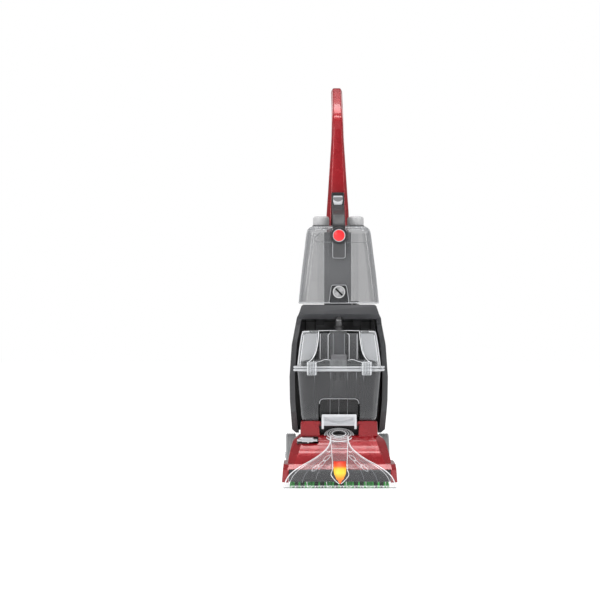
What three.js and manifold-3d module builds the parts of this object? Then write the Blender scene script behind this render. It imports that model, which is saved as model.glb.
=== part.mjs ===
// Upright carpet cleaner: a reclining upright with two water tanks on a wheeled base with five round brushes.
// Millimetres. X is the machine's right, -Y its front, Z up. The origin is on the floor under the middle of the box.
import * as THREE from 'three';
import { mergeVertices } from 'three/addons/utils/BufferGeometryUtils.js';
import Module from 'manifold-3d';

const wasm = await Module();
wasm.setup();

// ---- Driving dimensions -------------------------------------------------------------------------------------
const HEIGHT = 1123;          // floor to the top of the grip
const HALF_DEPTH = 215;       // nozzle lip in front, grip end behind
const FOOT_HALF = 156;        // half the width over the foot ears
const GAP = 0.3;              // clearance between pieces that touch
const WALL = 3;               // moulded wall thickness

const WHEEL_Y = 120;          // wheel axis
const WHEEL_RADIUS = 62.5;
const WHEEL_INNER = 119;      // inner and outer faces of a wheel, from the middle plane
const WHEEL_OUTER = 147;
const PIVOT_Y = 110;          // recline axis
const PIVOT_Z = 85;
const RAIL_INNER = 86;        // chassis side rails, from the middle plane
const RAIL_OUTER = 115;
const CASING_HALF = 82;       // half width of the motor casing between the rails

const BRUSH_COUNT = 5;
const BRUSH_PITCH = 53.5;     // spacing of the brush axes, also the gears' pitch diameter
const BRUSH_Y = -143;
const BRUSH_TEETH = 20;

const HOOD_TOP = 137;         // top of the red hood
const POST_TOP = 177;         // top of the two red posts under the recovery tank
const ARM_BOTTOM = 139;       // lowest point of the housing arms
const REAR_BOTTOM = 152;      // underside of the rear housing, clear of the wheels when reclined
const BROW_BOTTOM = 458;      // underside of the brow over the recovery tank
const BROW_TOP = 495;
const SPLIT_Y = 75;           // plane between the front and rear housings
const SPINE_TOP = 700;        // top of the spine that carries the handle

const BUCKET_BOTTOM = 179;
const BUCKET_TOP = 313;
const FLANGE = 7;             // thickness of the bucket's flange and of the lid's
const LID_TOP = 424;
const TANK_BACK = 60;         // rear wall of the recovery tank
const TUNNEL_HALF = 54;       // arched recess through the bucket's underside
const TUNNEL_TOP = 238;

const WATER_BOTTOM = 498;     // clean water tank
const WATER_TOP = 714;
const CAP_X = 48;
const CAP_Y = -8;
const CAP_RADIUS = 23;
const DIAL_Z = 530;
const BADGE_Z = 685;

// ---- Solids from three.js geometry ---------------------------------------------------------------------------
function solidOf(geometry) {
  const bare = geometry.clone();
  bare.deleteAttribute('normal');
  bare.deleteAttribute('uv');
  const merged = mergeVertices(bare, 1e-3);
  const corners = new Uint32Array(merged.index.array);
  const shape = () => new wasm.Manifold(new wasm.Mesh({
    numProp: 3,
    vertProperties: new Float32Array(merged.attributes.position.array),
    triVerts: corners,
  }));
  const solid = shape();
  if (solid.volume() > 0) return solid;
  corners.reverse();
  return shape();
}

function geometryOf(solid) {
  const mesh = solid.getMesh();
  const geometry = new THREE.BufferGeometry();
  geometry.setAttribute('position', new THREE.BufferAttribute(new Float32Array(mesh.vertProperties), 3));
  geometry.setIndex(new THREE.BufferAttribute(new Uint32Array(mesh.triVerts), 1));
  geometry.computeVertexNormals();
  return geometry;
}

const join = (first, ...rest) => rest.reduce((sum, solid) => sum.add(solid), first);
const cut = (first, ...rest) => rest.reduce((sum, solid) => sum.subtract(solid), first);
const common = (first, ...rest) => rest.reduce((sum, solid) => sum.intersect(solid), first);

function box(x0, x1, y0, y1, z0, z1) {
  const geometry = new THREE.BoxGeometry(x1 - x0, y1 - y0, z1 - z0);
  geometry.translate((x0 + x1) / 2, (y0 + y1) / 2, (z0 + z1) / 2);
  return solidOf(geometry);
}

// A closed outline whose corners are rounded to the given radius, as far as its edges allow.
function roundedShape(points, radius) {
  const shape = new THREE.Shape();
  const corners = points.map(([u, v]) => new THREE.Vector2(u, v));
  corners.forEach((corner, i) => {
    const before = corners[(i + corners.length - 1) % corners.length];
    const after = corners[(i + 1) % corners.length];
    const reach = Math.min(radius, corner.distanceTo(before) / 2.2, corner.distanceTo(after) / 2.2);
    const start = corner.clone().add(before.clone().sub(corner).setLength(reach));
    const end = corner.clone().add(after.clone().sub(corner).setLength(reach));
    if (i === 0) shape.moveTo(start.x, start.y);
    else shape.lineTo(start.x, start.y);
    if (radius > 0) shape.quadraticCurveTo(corner.x, corner.y, end.x, end.y);
  });
  shape.closePath();
  return shape;
}

function extrude(points, radius, depth, basis, segments = 3) {
  const shape = radius > 0 ? roundedShape(points, radius) : new THREE.Shape(points.map((p) => new THREE.Vector2(...p)));
  const geometry = new THREE.ExtrudeGeometry(shape, { depth, bevelEnabled: false, curveSegments: segments });
  geometry.applyMatrix4(basis);
  return solidOf(geometry);
}

const X_AXIS = new THREE.Vector3(1, 0, 0);
const Y_AXIS = new THREE.Vector3(0, 1, 0);
const Z_AXIS = new THREE.Vector3(0, 0, 1);

// An outline of [y, z] points, extruded from x0 to x1.
function sideProfile(points, x0, x1, radius = 0) {
  const basis = new THREE.Matrix4().makeBasis(Y_AXIS, Z_AXIS, X_AXIS).setPosition(x0, 0, 0);
  return extrude(points, radius, x1 - x0, basis);
}

// An outline of [x, z] points, extruded from y0 to y1.
function frontProfile(points, y0, y1, radius = 0) {
  const basis = new THREE.Matrix4().makeBasis(X_AXIS, Z_AXIS, Y_AXIS.clone().negate()).setPosition(0, y1, 0);
  return extrude(points, radius, y1 - y0, basis);
}

// An outline of [x, y] points, extruded from z0 to z1.
function planProfile(points, z0, z1, radius = 0) {
  const basis = new THREE.Matrix4().makeTranslation(0, 0, z0);
  return extrude(points, radius, z1 - z0, basis);
}

// The same outline on both sides of the middle plane, given as its right half from bottom to top.
const mirrored = (half) => [...half, ...half.slice().reverse().map(([x, z]) => [-x, z])];

function rod(from, to, radius, sides = 16) {
  const start = new THREE.Vector3(...from);
  const axis = new THREE.Vector3(...to).sub(start);
  const geometry = new THREE.CylinderGeometry(radius, radius, axis.length(), sides);
  geometry.applyQuaternion(new THREE.Quaternion().setFromUnitVectors(Y_AXIS, axis.clone().normalize()));
  geometry.translate(...start.addScaledVector(axis, 0.5).toArray());
  return solidOf(geometry);
}

const sleeve = (from, to, outer, inner, sides = 16) => {
  const axis = new THREE.Vector3(...to).sub(new THREE.Vector3(...from)).setLength(1);
  const start = new THREE.Vector3(...from).sub(axis);
  const end = new THREE.Vector3(...to).add(axis);
  return cut(rod(from, to, outer, sides), rod(start.toArray(), end.toArray(), inner, sides));
};

// A profile of [radius, height] points turned about a line through the given point along Z.
function turned(profile, [x, y, z], sides = 20) {
  const geometry = new THREE.LatheGeometry(profile.map((p) => new THREE.Vector2(...p)), sides);
  geometry.rotateX(Math.PI / 2);
  geometry.translate(x, y, z);
  return solidOf(geometry);
}

// A round tube along a smooth path.
function tube(points, radius, steps, sides = 10) {
  const circle = new THREE.Shape();
  circle.absarc(0, 0, radius, 0, 2 * Math.PI);
  const path = new THREE.CatmullRomCurve3(points.map((p) => new THREE.Vector3(...p)), false, 'centripetal');
  const geometry = new THREE.ExtrudeGeometry(circle, {
    steps, extrudePath: path, bevelEnabled: false, curveSegments: sides / 2,
  });
  return solidOf(geometry);
}

// A solid through closed rings that all have the same number of points.
function loft(rings) {
  const count = rings[0].length;
  const positions = rings.flat(2);
  const index = [];
  for (let r = 0; r + 1 < rings.length; r += 1) {
    for (let i = 0; i < count; i += 1) {
      const a = r * count + i;
      const b = r * count + ((i + 1) % count);
      index.push(a, b, b + count, a, b + count, a + count);
    }
  }
  const top = (rings.length - 1) * count;
  for (let i = 1; i + 1 < count; i += 1) {
    index.push(0, i + 1, i);
    index.push(top, top + i, top + i + 1);
  }
  const geometry = new THREE.BufferGeometry();
  geometry.setAttribute('position', new THREE.Float32BufferAttribute(positions, 3));
  geometry.setIndex(index);
  return solidOf(geometry);
}

// Rounded rectangle, counter-clockwise, as [u, v] points.
function rectangleRing(u0, u1, v0, v1, radius, steps = 3) {
  const ring = [];
  const centres = [[u1 - radius, v1 - radius], [u0 + radius, v1 - radius], [u0 + radius, v0 + radius],
    [u1 - radius, v0 + radius]];
  centres.forEach(([u, v], corner) => {
    for (let i = 0; i <= steps; i += 1) {
      const angle = (corner + i / steps) * (Math.PI / 2);
      ring.push([u + radius * Math.cos(angle), v + radius * Math.sin(angle)]);
    }
  });
  return ring;
}

// A tub through levels of { z, half, front, back, radius }, offset outwards by grow.
function tub(levels, grow = 0, steps = 3) {
  return loft(levels.map(({ z, half, front, back, radius }) =>
    rectangleRing(-half - grow, half + grow, front - grow, back + grow, radius + grow, steps)
      .map(([x, y]) => [x, y, z])));
}

// ---- Named meshes --------------------------------------------------------------------------------------------
const FINISHES = {
  red: { color: 0xa01420, roughness: 0.25, metalness: 0.1 },
  darkGrey: { color: 0x3c3d40, roughness: 0.5, metalness: 0 },
  black: { color: 0x161618, roughness: 0.45, metalness: 0 },
  silver: { color: 0xc4c6ca, roughness: 0.35, metalness: 0.6 },
  lightGrey: { color: 0xb4b6b8, roughness: 0.45, metalness: 0 },
  smoke: { color: 0x8e9094, roughness: 0.2, metalness: 0, transparent: true, opacity: 0.7 },
  darkSmoke: { color: 0x4a4b4e, roughness: 0.2, metalness: 0, transparent: true, opacity: 0.75 },
  clear: { color: 0xdfe4e8, roughness: 0.08, metalness: 0, transparent: true, opacity: 0.45 },
  green: { color: 0x3fae4a, roughness: 0.7, metalness: 0 },
  steel: { color: 0xb9bcc0, roughness: 0.3, metalness: 0.9 },
  rubber: { color: 0x232325, roughness: 0.85, metalness: 0 },
};

function named(group, name, solid, finish) {
  const mesh = new THREE.Mesh(geometryOf(solid), new THREE.MeshStandardMaterial(FINISHES[finish]));
  mesh.name = name;
  group.add(mesh);
}

// ---- Base ----------------------------------------------------------------------------------------------------
const COLLAR_Y = -97;
const COLLAR_Z = 138;
const COLLAR_TILT = 22 * (Math.PI / 180);
const COLLAR_RADIUS = 40;
const COLLAR_BORE = 18;
const COLLAR_AXIS = [0, -Math.sin(COLLAR_TILT), Math.cos(COLLAR_TILT)];
const HOOD_REAR = -55;
const HOOD_SLOPE = [[-187, 50], [-152, 88], [-126, 122], [-110, HOOD_TOP]];
const PANEL_HALF = 137;
const PEDAL_X = [-113, -59];
const POST_X = [53, 106];
const PEDAL_PIVOT = [-106, 116];

// A point on the axis of the tilted nozzle collar, at a distance from the collar's middle.
const onCollar = (distance) => [0, COLLAR_Y + COLLAR_AXIS[1] * distance, COLLAR_Z + COLLAR_AXIS[2] * distance];

function hood() {
  const side = sideProfile([[-187, 16], ...HOOD_SLOPE, [HOOD_REAR - 3, HOOD_TOP], [HOOD_REAR, 100],
    [HOOD_REAR, 16]], -FOOT_HALF, FOOT_HALF);
  const front = frontProfile(mirrored([[FOOT_HALF, 16], [FOOT_HALF - 4, 65], [139, 68], [126, 122],
    [109, HOOD_TOP]]), -190, -50);
  const insideSide = sideProfile([[-184, 10], [-184, 49], ...HOOD_SLOPE.slice(1).map(([y, z]) =>
    [y + 2, z - WALL]), [HOOD_REAR + 9, HOOD_TOP - WALL], [HOOD_REAR + 9, 10]], -160, 160);
  const insideFront = frontProfile(mirrored([[FOOT_HALF - 3, 10], [FOOT_HALF - 7, 62], [136, 65],
    [123, 120], [107.5, HOOD_TOP - WALL]]), -195, -40);
  const seat = rod(onCollar(-5), onCollar(30), COLLAR_RADIUS + 1.5, 32);
  const collarSeat = join(rod(onCollar(-14), onCollar(30), 27, 24),
    ...[0, 6, 12, 18, 24, 30].map((forward) => seat.translate([0, -forward, 0])));
  return cut(common(side, front), common(insideSide, insideFront), collarSeat,
    box(-PANEL_HALF, PANEL_HALF, -190, -183, 10, 50.5),
    box(PEDAL_X[0] - 1, PEDAL_X[1] + 1, -141, -101, 106, 140));
}

function lowerCover() {
  const post = (side) => {
    const [near, far] = POST_X;
    const outline = [[near, HOOD_TOP + GAP], [far, HOOD_TOP + GAP], [far - 2, POST_TOP - 8],
      [far - 12, POST_TOP], [near + 3, POST_TOP]].map(([x, z]) => [x * side, z]);
    return frontProfile(side > 0 ? outline : outline.reverse(), -108, -62);
  };
  const back = box(-POST_X[0] - 5, POST_X[0] + 5, -66, -62, 160, 172);
  return join(post(1), post(-1), back);
}

function chassis() {
  const rail = (side) => {
    const x0 = side > 0 ? RAIL_INNER : -RAIL_OUTER;
    const outline = [[-70, 24], [150, 24], [150, 66], [138, 103], [84, 103], [58, 62], [-70, 62]];
    return sideProfile(outline, x0, x0 + RAIL_OUTER - RAIL_INNER);
  };
  const deck = box(-128, 128, -162, -60, 50, 55);
  const across = (y, z, radius) => rod([-200, y, z], [200, y, z], radius);
  return cut(join(rail(1), rail(-1), deck), across(WHEEL_Y, WHEEL_RADIUS, 5 + GAP),
    across(PIVOT_Y, PIVOT_Z, 8 + GAP), rod([0, BRUSH_Y, 40], [0, BRUSH_Y, 60], 6),
    box(-24, 24, -118, -50, 45, 60));
}

function frontPanel() {
  const face = box(-PANEL_HALF + 0.6, PANEL_HALF - 0.6, -186.5, -183.6, 16, 49.8);
  const foot = box(-PANEL_HALF + 0.6, PANEL_HALF - 0.6, -186.5, -178, 14, 17);
  return join(face, foot);
}

function brushBlock() {
  const body = box(-138, 138, -174, -112, 28.5, 49.6);
  const hollow = box(-134, 134, -170, -116, 32.5, 60);
  const pillars = Array.from({ length: BRUSH_COUNT }, (_, i) =>
    rod([brushX(i), BRUSH_Y, 28.5], [brushX(i), BRUSH_Y, 49.6], 11, 12));
  const bores = Array.from({ length: BRUSH_COUNT }, (_, i) =>
    rod([brushX(i), BRUSH_Y, 20], [brushX(i), BRUSH_Y, 60], 5.6, 10));
  return cut(join(cut(body, hollow), ...pillars), ...bores);
}

const brushX = (i) => (i - (BRUSH_COUNT - 1) / 2) * BRUSH_PITCH;

// Round brush: gear rim in mesh with its neighbours, spindle above and a skirt of bristles below.
function brush(i) {
  const rootRadius = BRUSH_PITCH / 2 - 2.2;
  const tipRadius = BRUSH_PITCH / 2 + 1.5;
  const phase = i % 2 === 0 ? 0 : Math.PI / BRUSH_TEETH;
  const outline = [];
  for (let tooth = 0; tooth < BRUSH_TEETH; tooth += 1) {
    const middle = phase + (tooth * 2 * Math.PI) / BRUSH_TEETH;
    const corners = [[-2.2, rootRadius], [-0.9, tipRadius], [0.9, tipRadius], [2.2, rootRadius]];
    corners.forEach(([half, radius]) => {
      const angle = middle + half / radius;
      outline.push([radius * Math.cos(angle), radius * Math.sin(angle)]);
    });
  }
  const rim = planProfile(outline, 22.5, 27.5).translate([brushX(i), BRUSH_Y, 0]);
  const spindle = rod([brushX(i), BRUSH_Y, 25], [brushX(i), BRUSH_Y, i === 2 ? 49 : 46], 5, 8);
  const skirt = turned([[13, 0], [24, 0], [22.5, 23], [13, 23], [13, 0]], [brushX(i), BRUSH_Y, 0], 12);
  return join(rim, spindle, skirt);
}

// Vertical gearbox and air turbine over the middle brush.
function turbineHousing() {
  return cut(rod([0, BRUSH_Y, 55.3], [0, BRUSH_Y, 70], 16, 20), rod([0, BRUSH_Y, 58], [0, BRUSH_Y, 67], 14, 20),
    rod([0, BRUSH_Y, 50], [0, BRUSH_Y, 60], 5.5), box(8, 20, BRUSH_Y - 5, BRUSH_Y + 5, 59, 66));
}

function turbineRotor() {
  const blades = Array.from({ length: 6 }, (_, i) => box(3, 12.5, -0.8, 0.8, 59, 66).rotate([0, 0, i * 60]));
  return join(rod([0, 0, 49.6], [0, 0, 66.5], 4, 12), ...blades).translate([0, BRUSH_Y, 0]);
}

function nozzle() {
  const outerCurve = [[-128, 142], [-143, 122], [-170, 90], [-204, 48], [-HALF_DEPTH, 7], [-HALF_DEPTH, 0.5]];
  const backCurve = [[-188.6, 0.5], [-188.6, 50.6], [-153.6, 89.4], [-127.4, 123.8], [-112, 139.5]];
  const cavityFront = [[-125, 139], [-140.5, 120.5], [-167.6, 88], [-201.4, 47], [-212.4, 6.5], [-212.4, -2]];
  const cavityBack = [[-191.2, -2], [-191.2, 51.5], [-155.6, 91], [-129.6, 125], [-117, 139]];
  const flare = mirrored([[152, -3], [152, 5], [149, 20], [139, 38], [124, 52], [98, 68], [72, 81], [52, 94],
    [35, 108], [27.4, 121], [25, 145]]);
  const flareInside = mirrored([[149.6, -3], [149.6, 4], [146.6, 19], [136.8, 36.6], [122, 50.4], [96.4, 66.2],
    [70.4, 79.2], [50.2, 92.2], [33, 106.2], [25, 119.6], [22.4, 140]]);
  const skirt = common(sideProfile([...outerCurve, ...backCurve], -160, 160), frontProfile(flare, -220, -100));
  const cavity = common(sideProfile([...cavityFront, ...cavityBack], -160, 160),
    frontProfile(flareInside, -220, -100));
  const collar = rod(onCollar(-3.5), onCollar(4.5), COLLAR_RADIUS, 32);
  const mouth = rod(onCollar(-8), onCollar(10), COLLAR_BORE, 20);
  const throat = box(-15, 15, -128, -105, 129, 134.5);
  return cut(join(skirt, collar), cavity, mouth, throat);
}

const nozzleSeal = () => sleeve(onCollar(-8), onCollar(-3.9), COLLAR_BORE + 7, COLLAR_BORE, 20);

function sprayBar() {
  const nozzles = [-75, -25, 25, 75].map((x) => rod([x, -111, 30], [x, -111, 42], 3, 8));
  return join(rod([-105, -106, 40], [105, -106, 40], 5, 12), ...nozzles.map((n) => n.translate([0, 3, 0])));
}

// Stepped foot pedal on the left of the hood, hinged along its rear edge.
function hoodPedal() {
  const [left, right] = PEDAL_X;
  const tread = sideProfile([[-138, 112], [-106, 128], [-106, 133], [-138, 117]], left, right);
  const step = sideProfile([[-134, 116], [-110, 128], [-110, 136], [-134, 122]], left + 11, right - 11);
  const hinge = rod([left, PEDAL_PIVOT[0], 130], [right, PEDAL_PIVOT[0], 130], 3, 10);
  return join(tread, step, hinge);
}

function tankLatch() {
  const plate = frontProfile([[-48, 160], [48, 160], [48, 190], [44, 195], [-44, 195], [-48, 190]],
    -112, -107);
  const smile = common(cut(rod([0, -116, 230], [0, -110, 230], 52, 40), rod([0, -117, 230], [0, -109, 230], 47, 40)),
    box(-30, 30, -118, -108, 160, 200));
  const hinge = rod([-48, -106, 163], [48, -106, 163], 3, 10);
  const top = box(-46, 46, -112, -102, 191, 195);
  return join(plate, smile, hinge, top);
}

const wheelProfile = [[5.4, 0], [22, 0], [26, 5], [48, 5], [54, 0], [WHEEL_RADIUS, 2.5],
  [WHEEL_RADIUS, 25.5], [54, 28], [48, 23], [26, 23], [22, 28], [5.4, 28], [5.4, 0]];

function wheel(side) {
  const disc = turned(wheelProfile, [0, 0, 0], 24).rotate([0, 90, 0]);
  return disc.translate([side > 0 ? WHEEL_INNER : -WHEEL_OUTER, WHEEL_Y, WHEEL_RADIUS]);
}

function axle(side) {
  const pin = rod([88 * side, WHEEL_Y, WHEEL_RADIUS], [150 * side, WHEEL_Y, WHEEL_RADIUS], 5);
  const head = rod([147.4 * side, WHEEL_Y, WHEEL_RADIUS], [150 * side, WHEEL_Y, WHEEL_RADIUS], 9);
  return join(pin, head);
}

// Foot pedal behind the left rail that frees the recline.
function reclinePedal() {
  const arm = sideProfile([[150.4, 72], [156, 68], [194, 58], [196, 63], [158, 78], [150.4, 80]], -RAIL_OUTER + 3,
    -RAIL_INNER - 3);
  return arm;
}

const suctionHose = () => {
  const path = [onCollar(-8.4), onCollar(-24), [0, -72, 72], [0, -30, 47], [0, 20, 46], [0, 66, 50]];
  return cut(tube(path, 17, 12, 10), tube([onCollar(-6), ...path.slice(1, -1), [0, 68, 50]], 14.5, 12, 10));
};

const base = new THREE.Group();
named(base, 'chassis', chassis(), 'black');
named(base, 'hood', hood(), 'red');
named(base, 'lower_cover', lowerCover(), 'red');
named(base, 'front_panel', frontPanel(), 'black');
named(base, 'brush_block', brushBlock(), 'black');
for (let i = 0; i < BRUSH_COUNT; i += 1) named(base, `brush_${i + 1}`, brush(i), 'green');
named(base, 'turbine_housing', turbineHousing(), 'darkGrey');
named(base, 'turbine_rotor', turbineRotor(), 'lightGrey');
named(base, 'nozzle', nozzle(), 'clear');
named(base, 'nozzle_seal', nozzleSeal(), 'rubber');
named(base, 'spray_bar', sprayBar(), 'black');
named(base, 'hood_pedal', hoodPedal(), 'silver');
named(base, 'tank_latch', tankLatch(), 'silver');
named(base, 'wheel_left', wheel(-1), 'lightGrey');
named(base, 'wheel_right', wheel(1), 'lightGrey');
named(base, 'axle_left', axle(-1), 'steel');
named(base, 'axle_right', axle(1), 'steel');
named(base, 'recline_pedal', reclinePedal(), 'darkGrey');
named(base, 'suction_hose', suctionHose(), 'rubber');

// ---- Upright -------------------------------------------------------------------------------------------------
const BAY_BACK = 70;
const RISER_Y = 112;
const TANK_FRONT = -92;       // front of the brow and of the clean tank
const SPINE_HALF = 38;
const SPINE_FRONT = 50;
const SPINE_REAR = 100;

const ARM_OUTLINE = [[118, ARM_BOTTOM], [129, 149], [135, 232], [136, 296], [130, 384], [116, BROW_BOTTOM],
  [110, 470], [103, BROW_TOP - 4], [98, BROW_TOP]];
const ARM_FRONT = [[TANK_FRONT, BROW_TOP], [TANK_FRONT, 470], [-80, BROW_BOTTOM], [-56, 440], [-64, 310],
  [-60, 200], [-34, ARM_BOTTOM]];
const HOUSING_REAR = [[142, REAR_BOTTOM], [152, 172], [156, 300], [146, 430], [118, BROW_TOP]];

function motorCasing() {
  const outline = [[-40, 28], [150, 28], [150, REAR_BOTTOM - GAP], [76, REAR_BOTTOM - GAP],
    [76, 138.6], [69.6, 138.6], [69.6, 172], [-40, 172]];
  const inside = [[-37, 31], [147, 31], [147, REAR_BOTTOM - 4], [79, REAR_BOTTOM - 4],
    [79, 135.6], [66.6, 135.6], [66.6, 169], [-37, 169]];
  const tunnel = sideProfile([[-60, 10], [124, 10], [124, 42], [86, 72], [-60, 92]], -24, 24);
  const tunnelWall = sideProfile([[-61, 9], [127, 9], [127, 44], [88, 75], [-61, 95]], -27, 27);
  const cavity = cut(sideProfile(inside, -CASING_HALF + WALL, CASING_HALF - WALL), tunnelWall);
  const vents = [-60, -40, -20, 0, 20, 40, 60].map((x) => box(x - 4, x + 4, 140, 160, 60, 110));
  return cut(sideProfile(outline, -CASING_HALF, CASING_HALF), cavity, tunnel, ...vents,
    rod([-100, PIVOT_Y, PIVOT_Z], [100, PIVOT_Y, PIVOT_Z], 8 + GAP),
    rod([0, RISER_Y + 8, 130], [0, RISER_Y + 8, 160], 17), rod([60, 112, 130], [60, 112, 160], 7));
}

function pivotPin(side) {
  return rod([72 * side, PIVOT_Y, PIVOT_Z], [115 * side, PIVOT_Y, PIVOT_Z], 8);
}

function suctionMotor() {
  const can = turned([[0, 96], [42, 96], [45, 100], [45, 128], [42, 132], [18, 132], [16, 138], [0, 138]],
    [0, 16, 0], 24);
  return cut(can, rod([0, 16, 120], [0, 16, 140], 4.4, 12));
}

function suctionFan() {
  const disc = turned([[0, 141], [40, 141], [40, 144], [8, 147], [8, 160], [0, 160]], [0, 16, 0], 24);
  const blades = Array.from({ length: 8 }, (_, i) =>
    box(10, 38, -1, 1, 143.5, 158).rotate([0, 0, i * 45]).translate([0, 16, 0]));
  return join(disc, rod([0, 16, 124], [0, 16, 142], 4, 12), ...blades);
}

const solutionPump = () => join(box(48, 76, 82, 92, 31.4, 70), box(48, 76, 84, 100, 60, 92), rod([62, 96, 88],
  [62, 96, 104], 6, 12));

function baySpace(grow) {
  const opening = mirrored([[104 + grow, 120], [113 + grow, 150], [120 + grow, 232], [121 + grow, 300],
    [116 + grow, 384], [103 + grow, BROW_BOTTOM - 3 + grow]]);
  return frontProfile(opening, -160, BAY_BACK + grow);
}

// Front housing: the two arms, the brow over the recovery tank and the wall behind the bay.
function frontHousing() {
  const rearEdge = [[SPLIT_Y, ARM_BOTTOM], [SPLIT_Y, BROW_TOP]];
  const side = sideProfile([...ARM_FRONT, ...rearEdge], -140, 140);
  const outer = common(side, frontProfile(mirrored(ARM_OUTLINE), -100, SPLIT_Y));
  const browHollow = sideProfile([[TANK_FRONT + 4, BROW_TOP - 4], [TANK_FRONT + 4, BROW_BOTTOM + 12],
    [TANK_FRONT + 16, BROW_BOTTOM + 3], [SPLIT_Y + 2, BROW_BOTTOM + 3], [SPLIT_Y + 2, BROW_TOP - 4]], -97, 97);
  const spoutHole = rod([0, -74, BROW_BOTTOM - 10], [0, -74, BROW_BOTTOM + 10], 11.5);
  const valveHole = rod([45, -20, BROW_TOP - 10], [45, -20, BROW_TOP + 5], 14);
  const armTop = box(-150, 150, -100, 80, BROW_BOTTOM, BROW_BOTTOM + 1);
  return cut(outer, cut(baySpace(0), armTop), browHollow, spoutHole, valveHole);
}

function rearHousing() {
  const side = (grow, front, low, high) => sideProfile([[front, low], ...HOUSING_REAR.map(([y, z], i) =>
    [y - grow, i === 0 ? low : i === HOUSING_REAR.length - 1 ? high : z]), [front, high]], -140, 140);
  const shrink = (amount) => mirrored(ARM_OUTLINE.map(([x, z]) => [x - amount, z]));
  const outer = common(side(0, SPLIT_Y + GAP, REAR_BOTTOM, BROW_TOP), frontProfile(shrink(0), 70, 160));
  const inner = common(side(3.5, SPLIT_Y - 1, REAR_BOTTOM + 3.5, BROW_TOP - 3.5), frontProfile(shrink(3.5), 70, 160));
  const spine = sideProfile([[SPINE_FRONT, BROW_TOP - 2], [SPINE_REAR + 16, BROW_TOP - 2],
    [SPINE_REAR, 640], [SPINE_REAR - 3, SPINE_TOP], [SPINE_FRONT, SPINE_TOP]], -SPINE_HALF, SPINE_HALF);
  const spineInner = sideProfile([[SPINE_FRONT + WALL, BROW_TOP - 10], [SPINE_REAR + 13, BROW_TOP - 10],
    [SPINE_REAR - 3, 640], [SPINE_REAR - 6, SPINE_TOP + 5], [SPINE_FRONT + WALL, SPINE_TOP + 5]],
  -SPINE_HALF + WALL, SPINE_HALF - WALL);
  const clearOfFront = box(-45, 45, 40, SPLIT_Y + GAP, 480, BROW_TOP + GAP);
  const holes = [rod([0, RISER_Y + 8, 140], [0, RISER_Y + 8, 160], 17), rod([60, 112, 140], [60, 112, 160], 7)];
  return cut(join(outer, cut(spine, clearOfFront)), inner, spineInner, ...holes);
}

function riserDuct() {
  const path = [[0, RISER_Y + 8, 96], [0, RISER_Y + 8, 200], [0, RISER_Y, 400], [0, RISER_Y - 5, 452],
    [0, 92, 472], [0, 70, 476.5], [0, 0, 477], [0, -56, 477],
    [0, -70, 474], [0, -74, 466], [0, -74, 452], [0, -74, 425]];
  const inner = [[0, RISER_Y + 8, 94], ...path.slice(1, -1), [0, -74, 424]];
  return cut(tube(path, 9.8, 24, 8), tube(inner, 7.5, 24, 8));
}

function valveSeat() {
  return turned([[5, 484], [13.5, 484], [13.5, 496.5], [10.5, 496.5], [10.5, 487], [5, 487], [5, 484]],
    [45, -20, 0], 20);
}

const solutionTube = () => tube([[45, -20, 483.4], [46, -18, 473], [50, 20, 470], [56, 80, 466], [60, 108, 440],
  [60, 112, 300], [60, 112, 150], [60, 112, 128], [61, 103, 116], [62, 97, 110], [62, 96, 105.2]], 4, 24, 6);

function powerPedal() {
  return sideProfile([[150.4, 118], [158, 116], [188, 106], [190, 111], [160, 124], [150.4, 126]], 30, 74);
}

function cordHook(z, y) {
  return join(box(-8, 8, y, y + 34, z - 5, z + 5), box(-9, 9, y + 28, y + 34, z - 5, z + 34));
}

function upperCordHook(z, y) {
  const stub = rod([0, y, z], [0, y + 34, z], 8, 16);
  return join(stub, box(-9, 9, y + 28, y + 34, z - 34, z + 6));
}

// Handle: stations along its middle line with tilt back from upright, half width and half thickness.
const HANDLE = [
  { y: 72, z: SPINE_TOP + GAP, tilt: 0, half: 31, thick: 21 },
  { y: 73, z: 742, tilt: 2, half: 32, thick: 21 },
  { y: 74, z: 813, tilt: 2, half: 27.5, thick: 19 },
  { y: 79, z: 900, tilt: 4, half: 22, thick: 17 },
  { y: 83, z: 965, tilt: 4, half: 18, thick: 16 },
  { y: 87, z: 1000, tilt: 10, half: 17, thick: 15.5 },
  { y: 95, z: 1024, tilt: 26, half: 16.6, thick: 15 },
  { y: 108, z: 1042, tilt: 42, half: 16.4, thick: 14.5 },
  { y: 127, z: 1058, tilt: 51, half: 16.2, thick: 14.2 },
  { y: 162, z: 1084, tilt: 54, half: 16, thick: 14 },
  { y: 196, z: HEIGHT - 14.3, tilt: 54, half: 16, thick: 14 },
  { y: HALF_DEPTH, z: HEIGHT - 9, tilt: 90, half: 11, thick: 9 },
];
const GRIP_RISE = 36 * (Math.PI / 180);   // slope of the grip above level
const GRIP_START = [132, 1061.7];         // where the trigger's slot begins on the grip's middle line
const SLOT_HALF = 8.5;                    // half width of the trigger's slot

// Eight-sided section of the handle, its thickness running across the middle line.
function handleRing({ y, z, tilt, half, thick }, inset) {
  const angle = (tilt * Math.PI) / 180;
  const a = half - inset;
  const t = thick - inset;
  const bevel = 0.42;
  const corners = [[1, bevel], [bevel * 1.3, 1], [-bevel * 1.3, 1], [-1, bevel], [-1, -bevel],
    [-bevel * 1.1, -1], [bevel * 1.1, -1], [1, -bevel]];
  return corners.map(([u, v]) => [a * u, y + t * v * Math.cos(angle), z - t * v * Math.sin(angle)]);
}

// Point under the rising grip, so far along its middle line and so far below it.
function underGrip([along, below]) {
  return [
    GRIP_START[0] + along * Math.cos(GRIP_RISE) + below * Math.sin(GRIP_RISE),
    GRIP_START[1] + along * Math.sin(GRIP_RISE) - below * Math.cos(GRIP_RISE),
  ];
}

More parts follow.
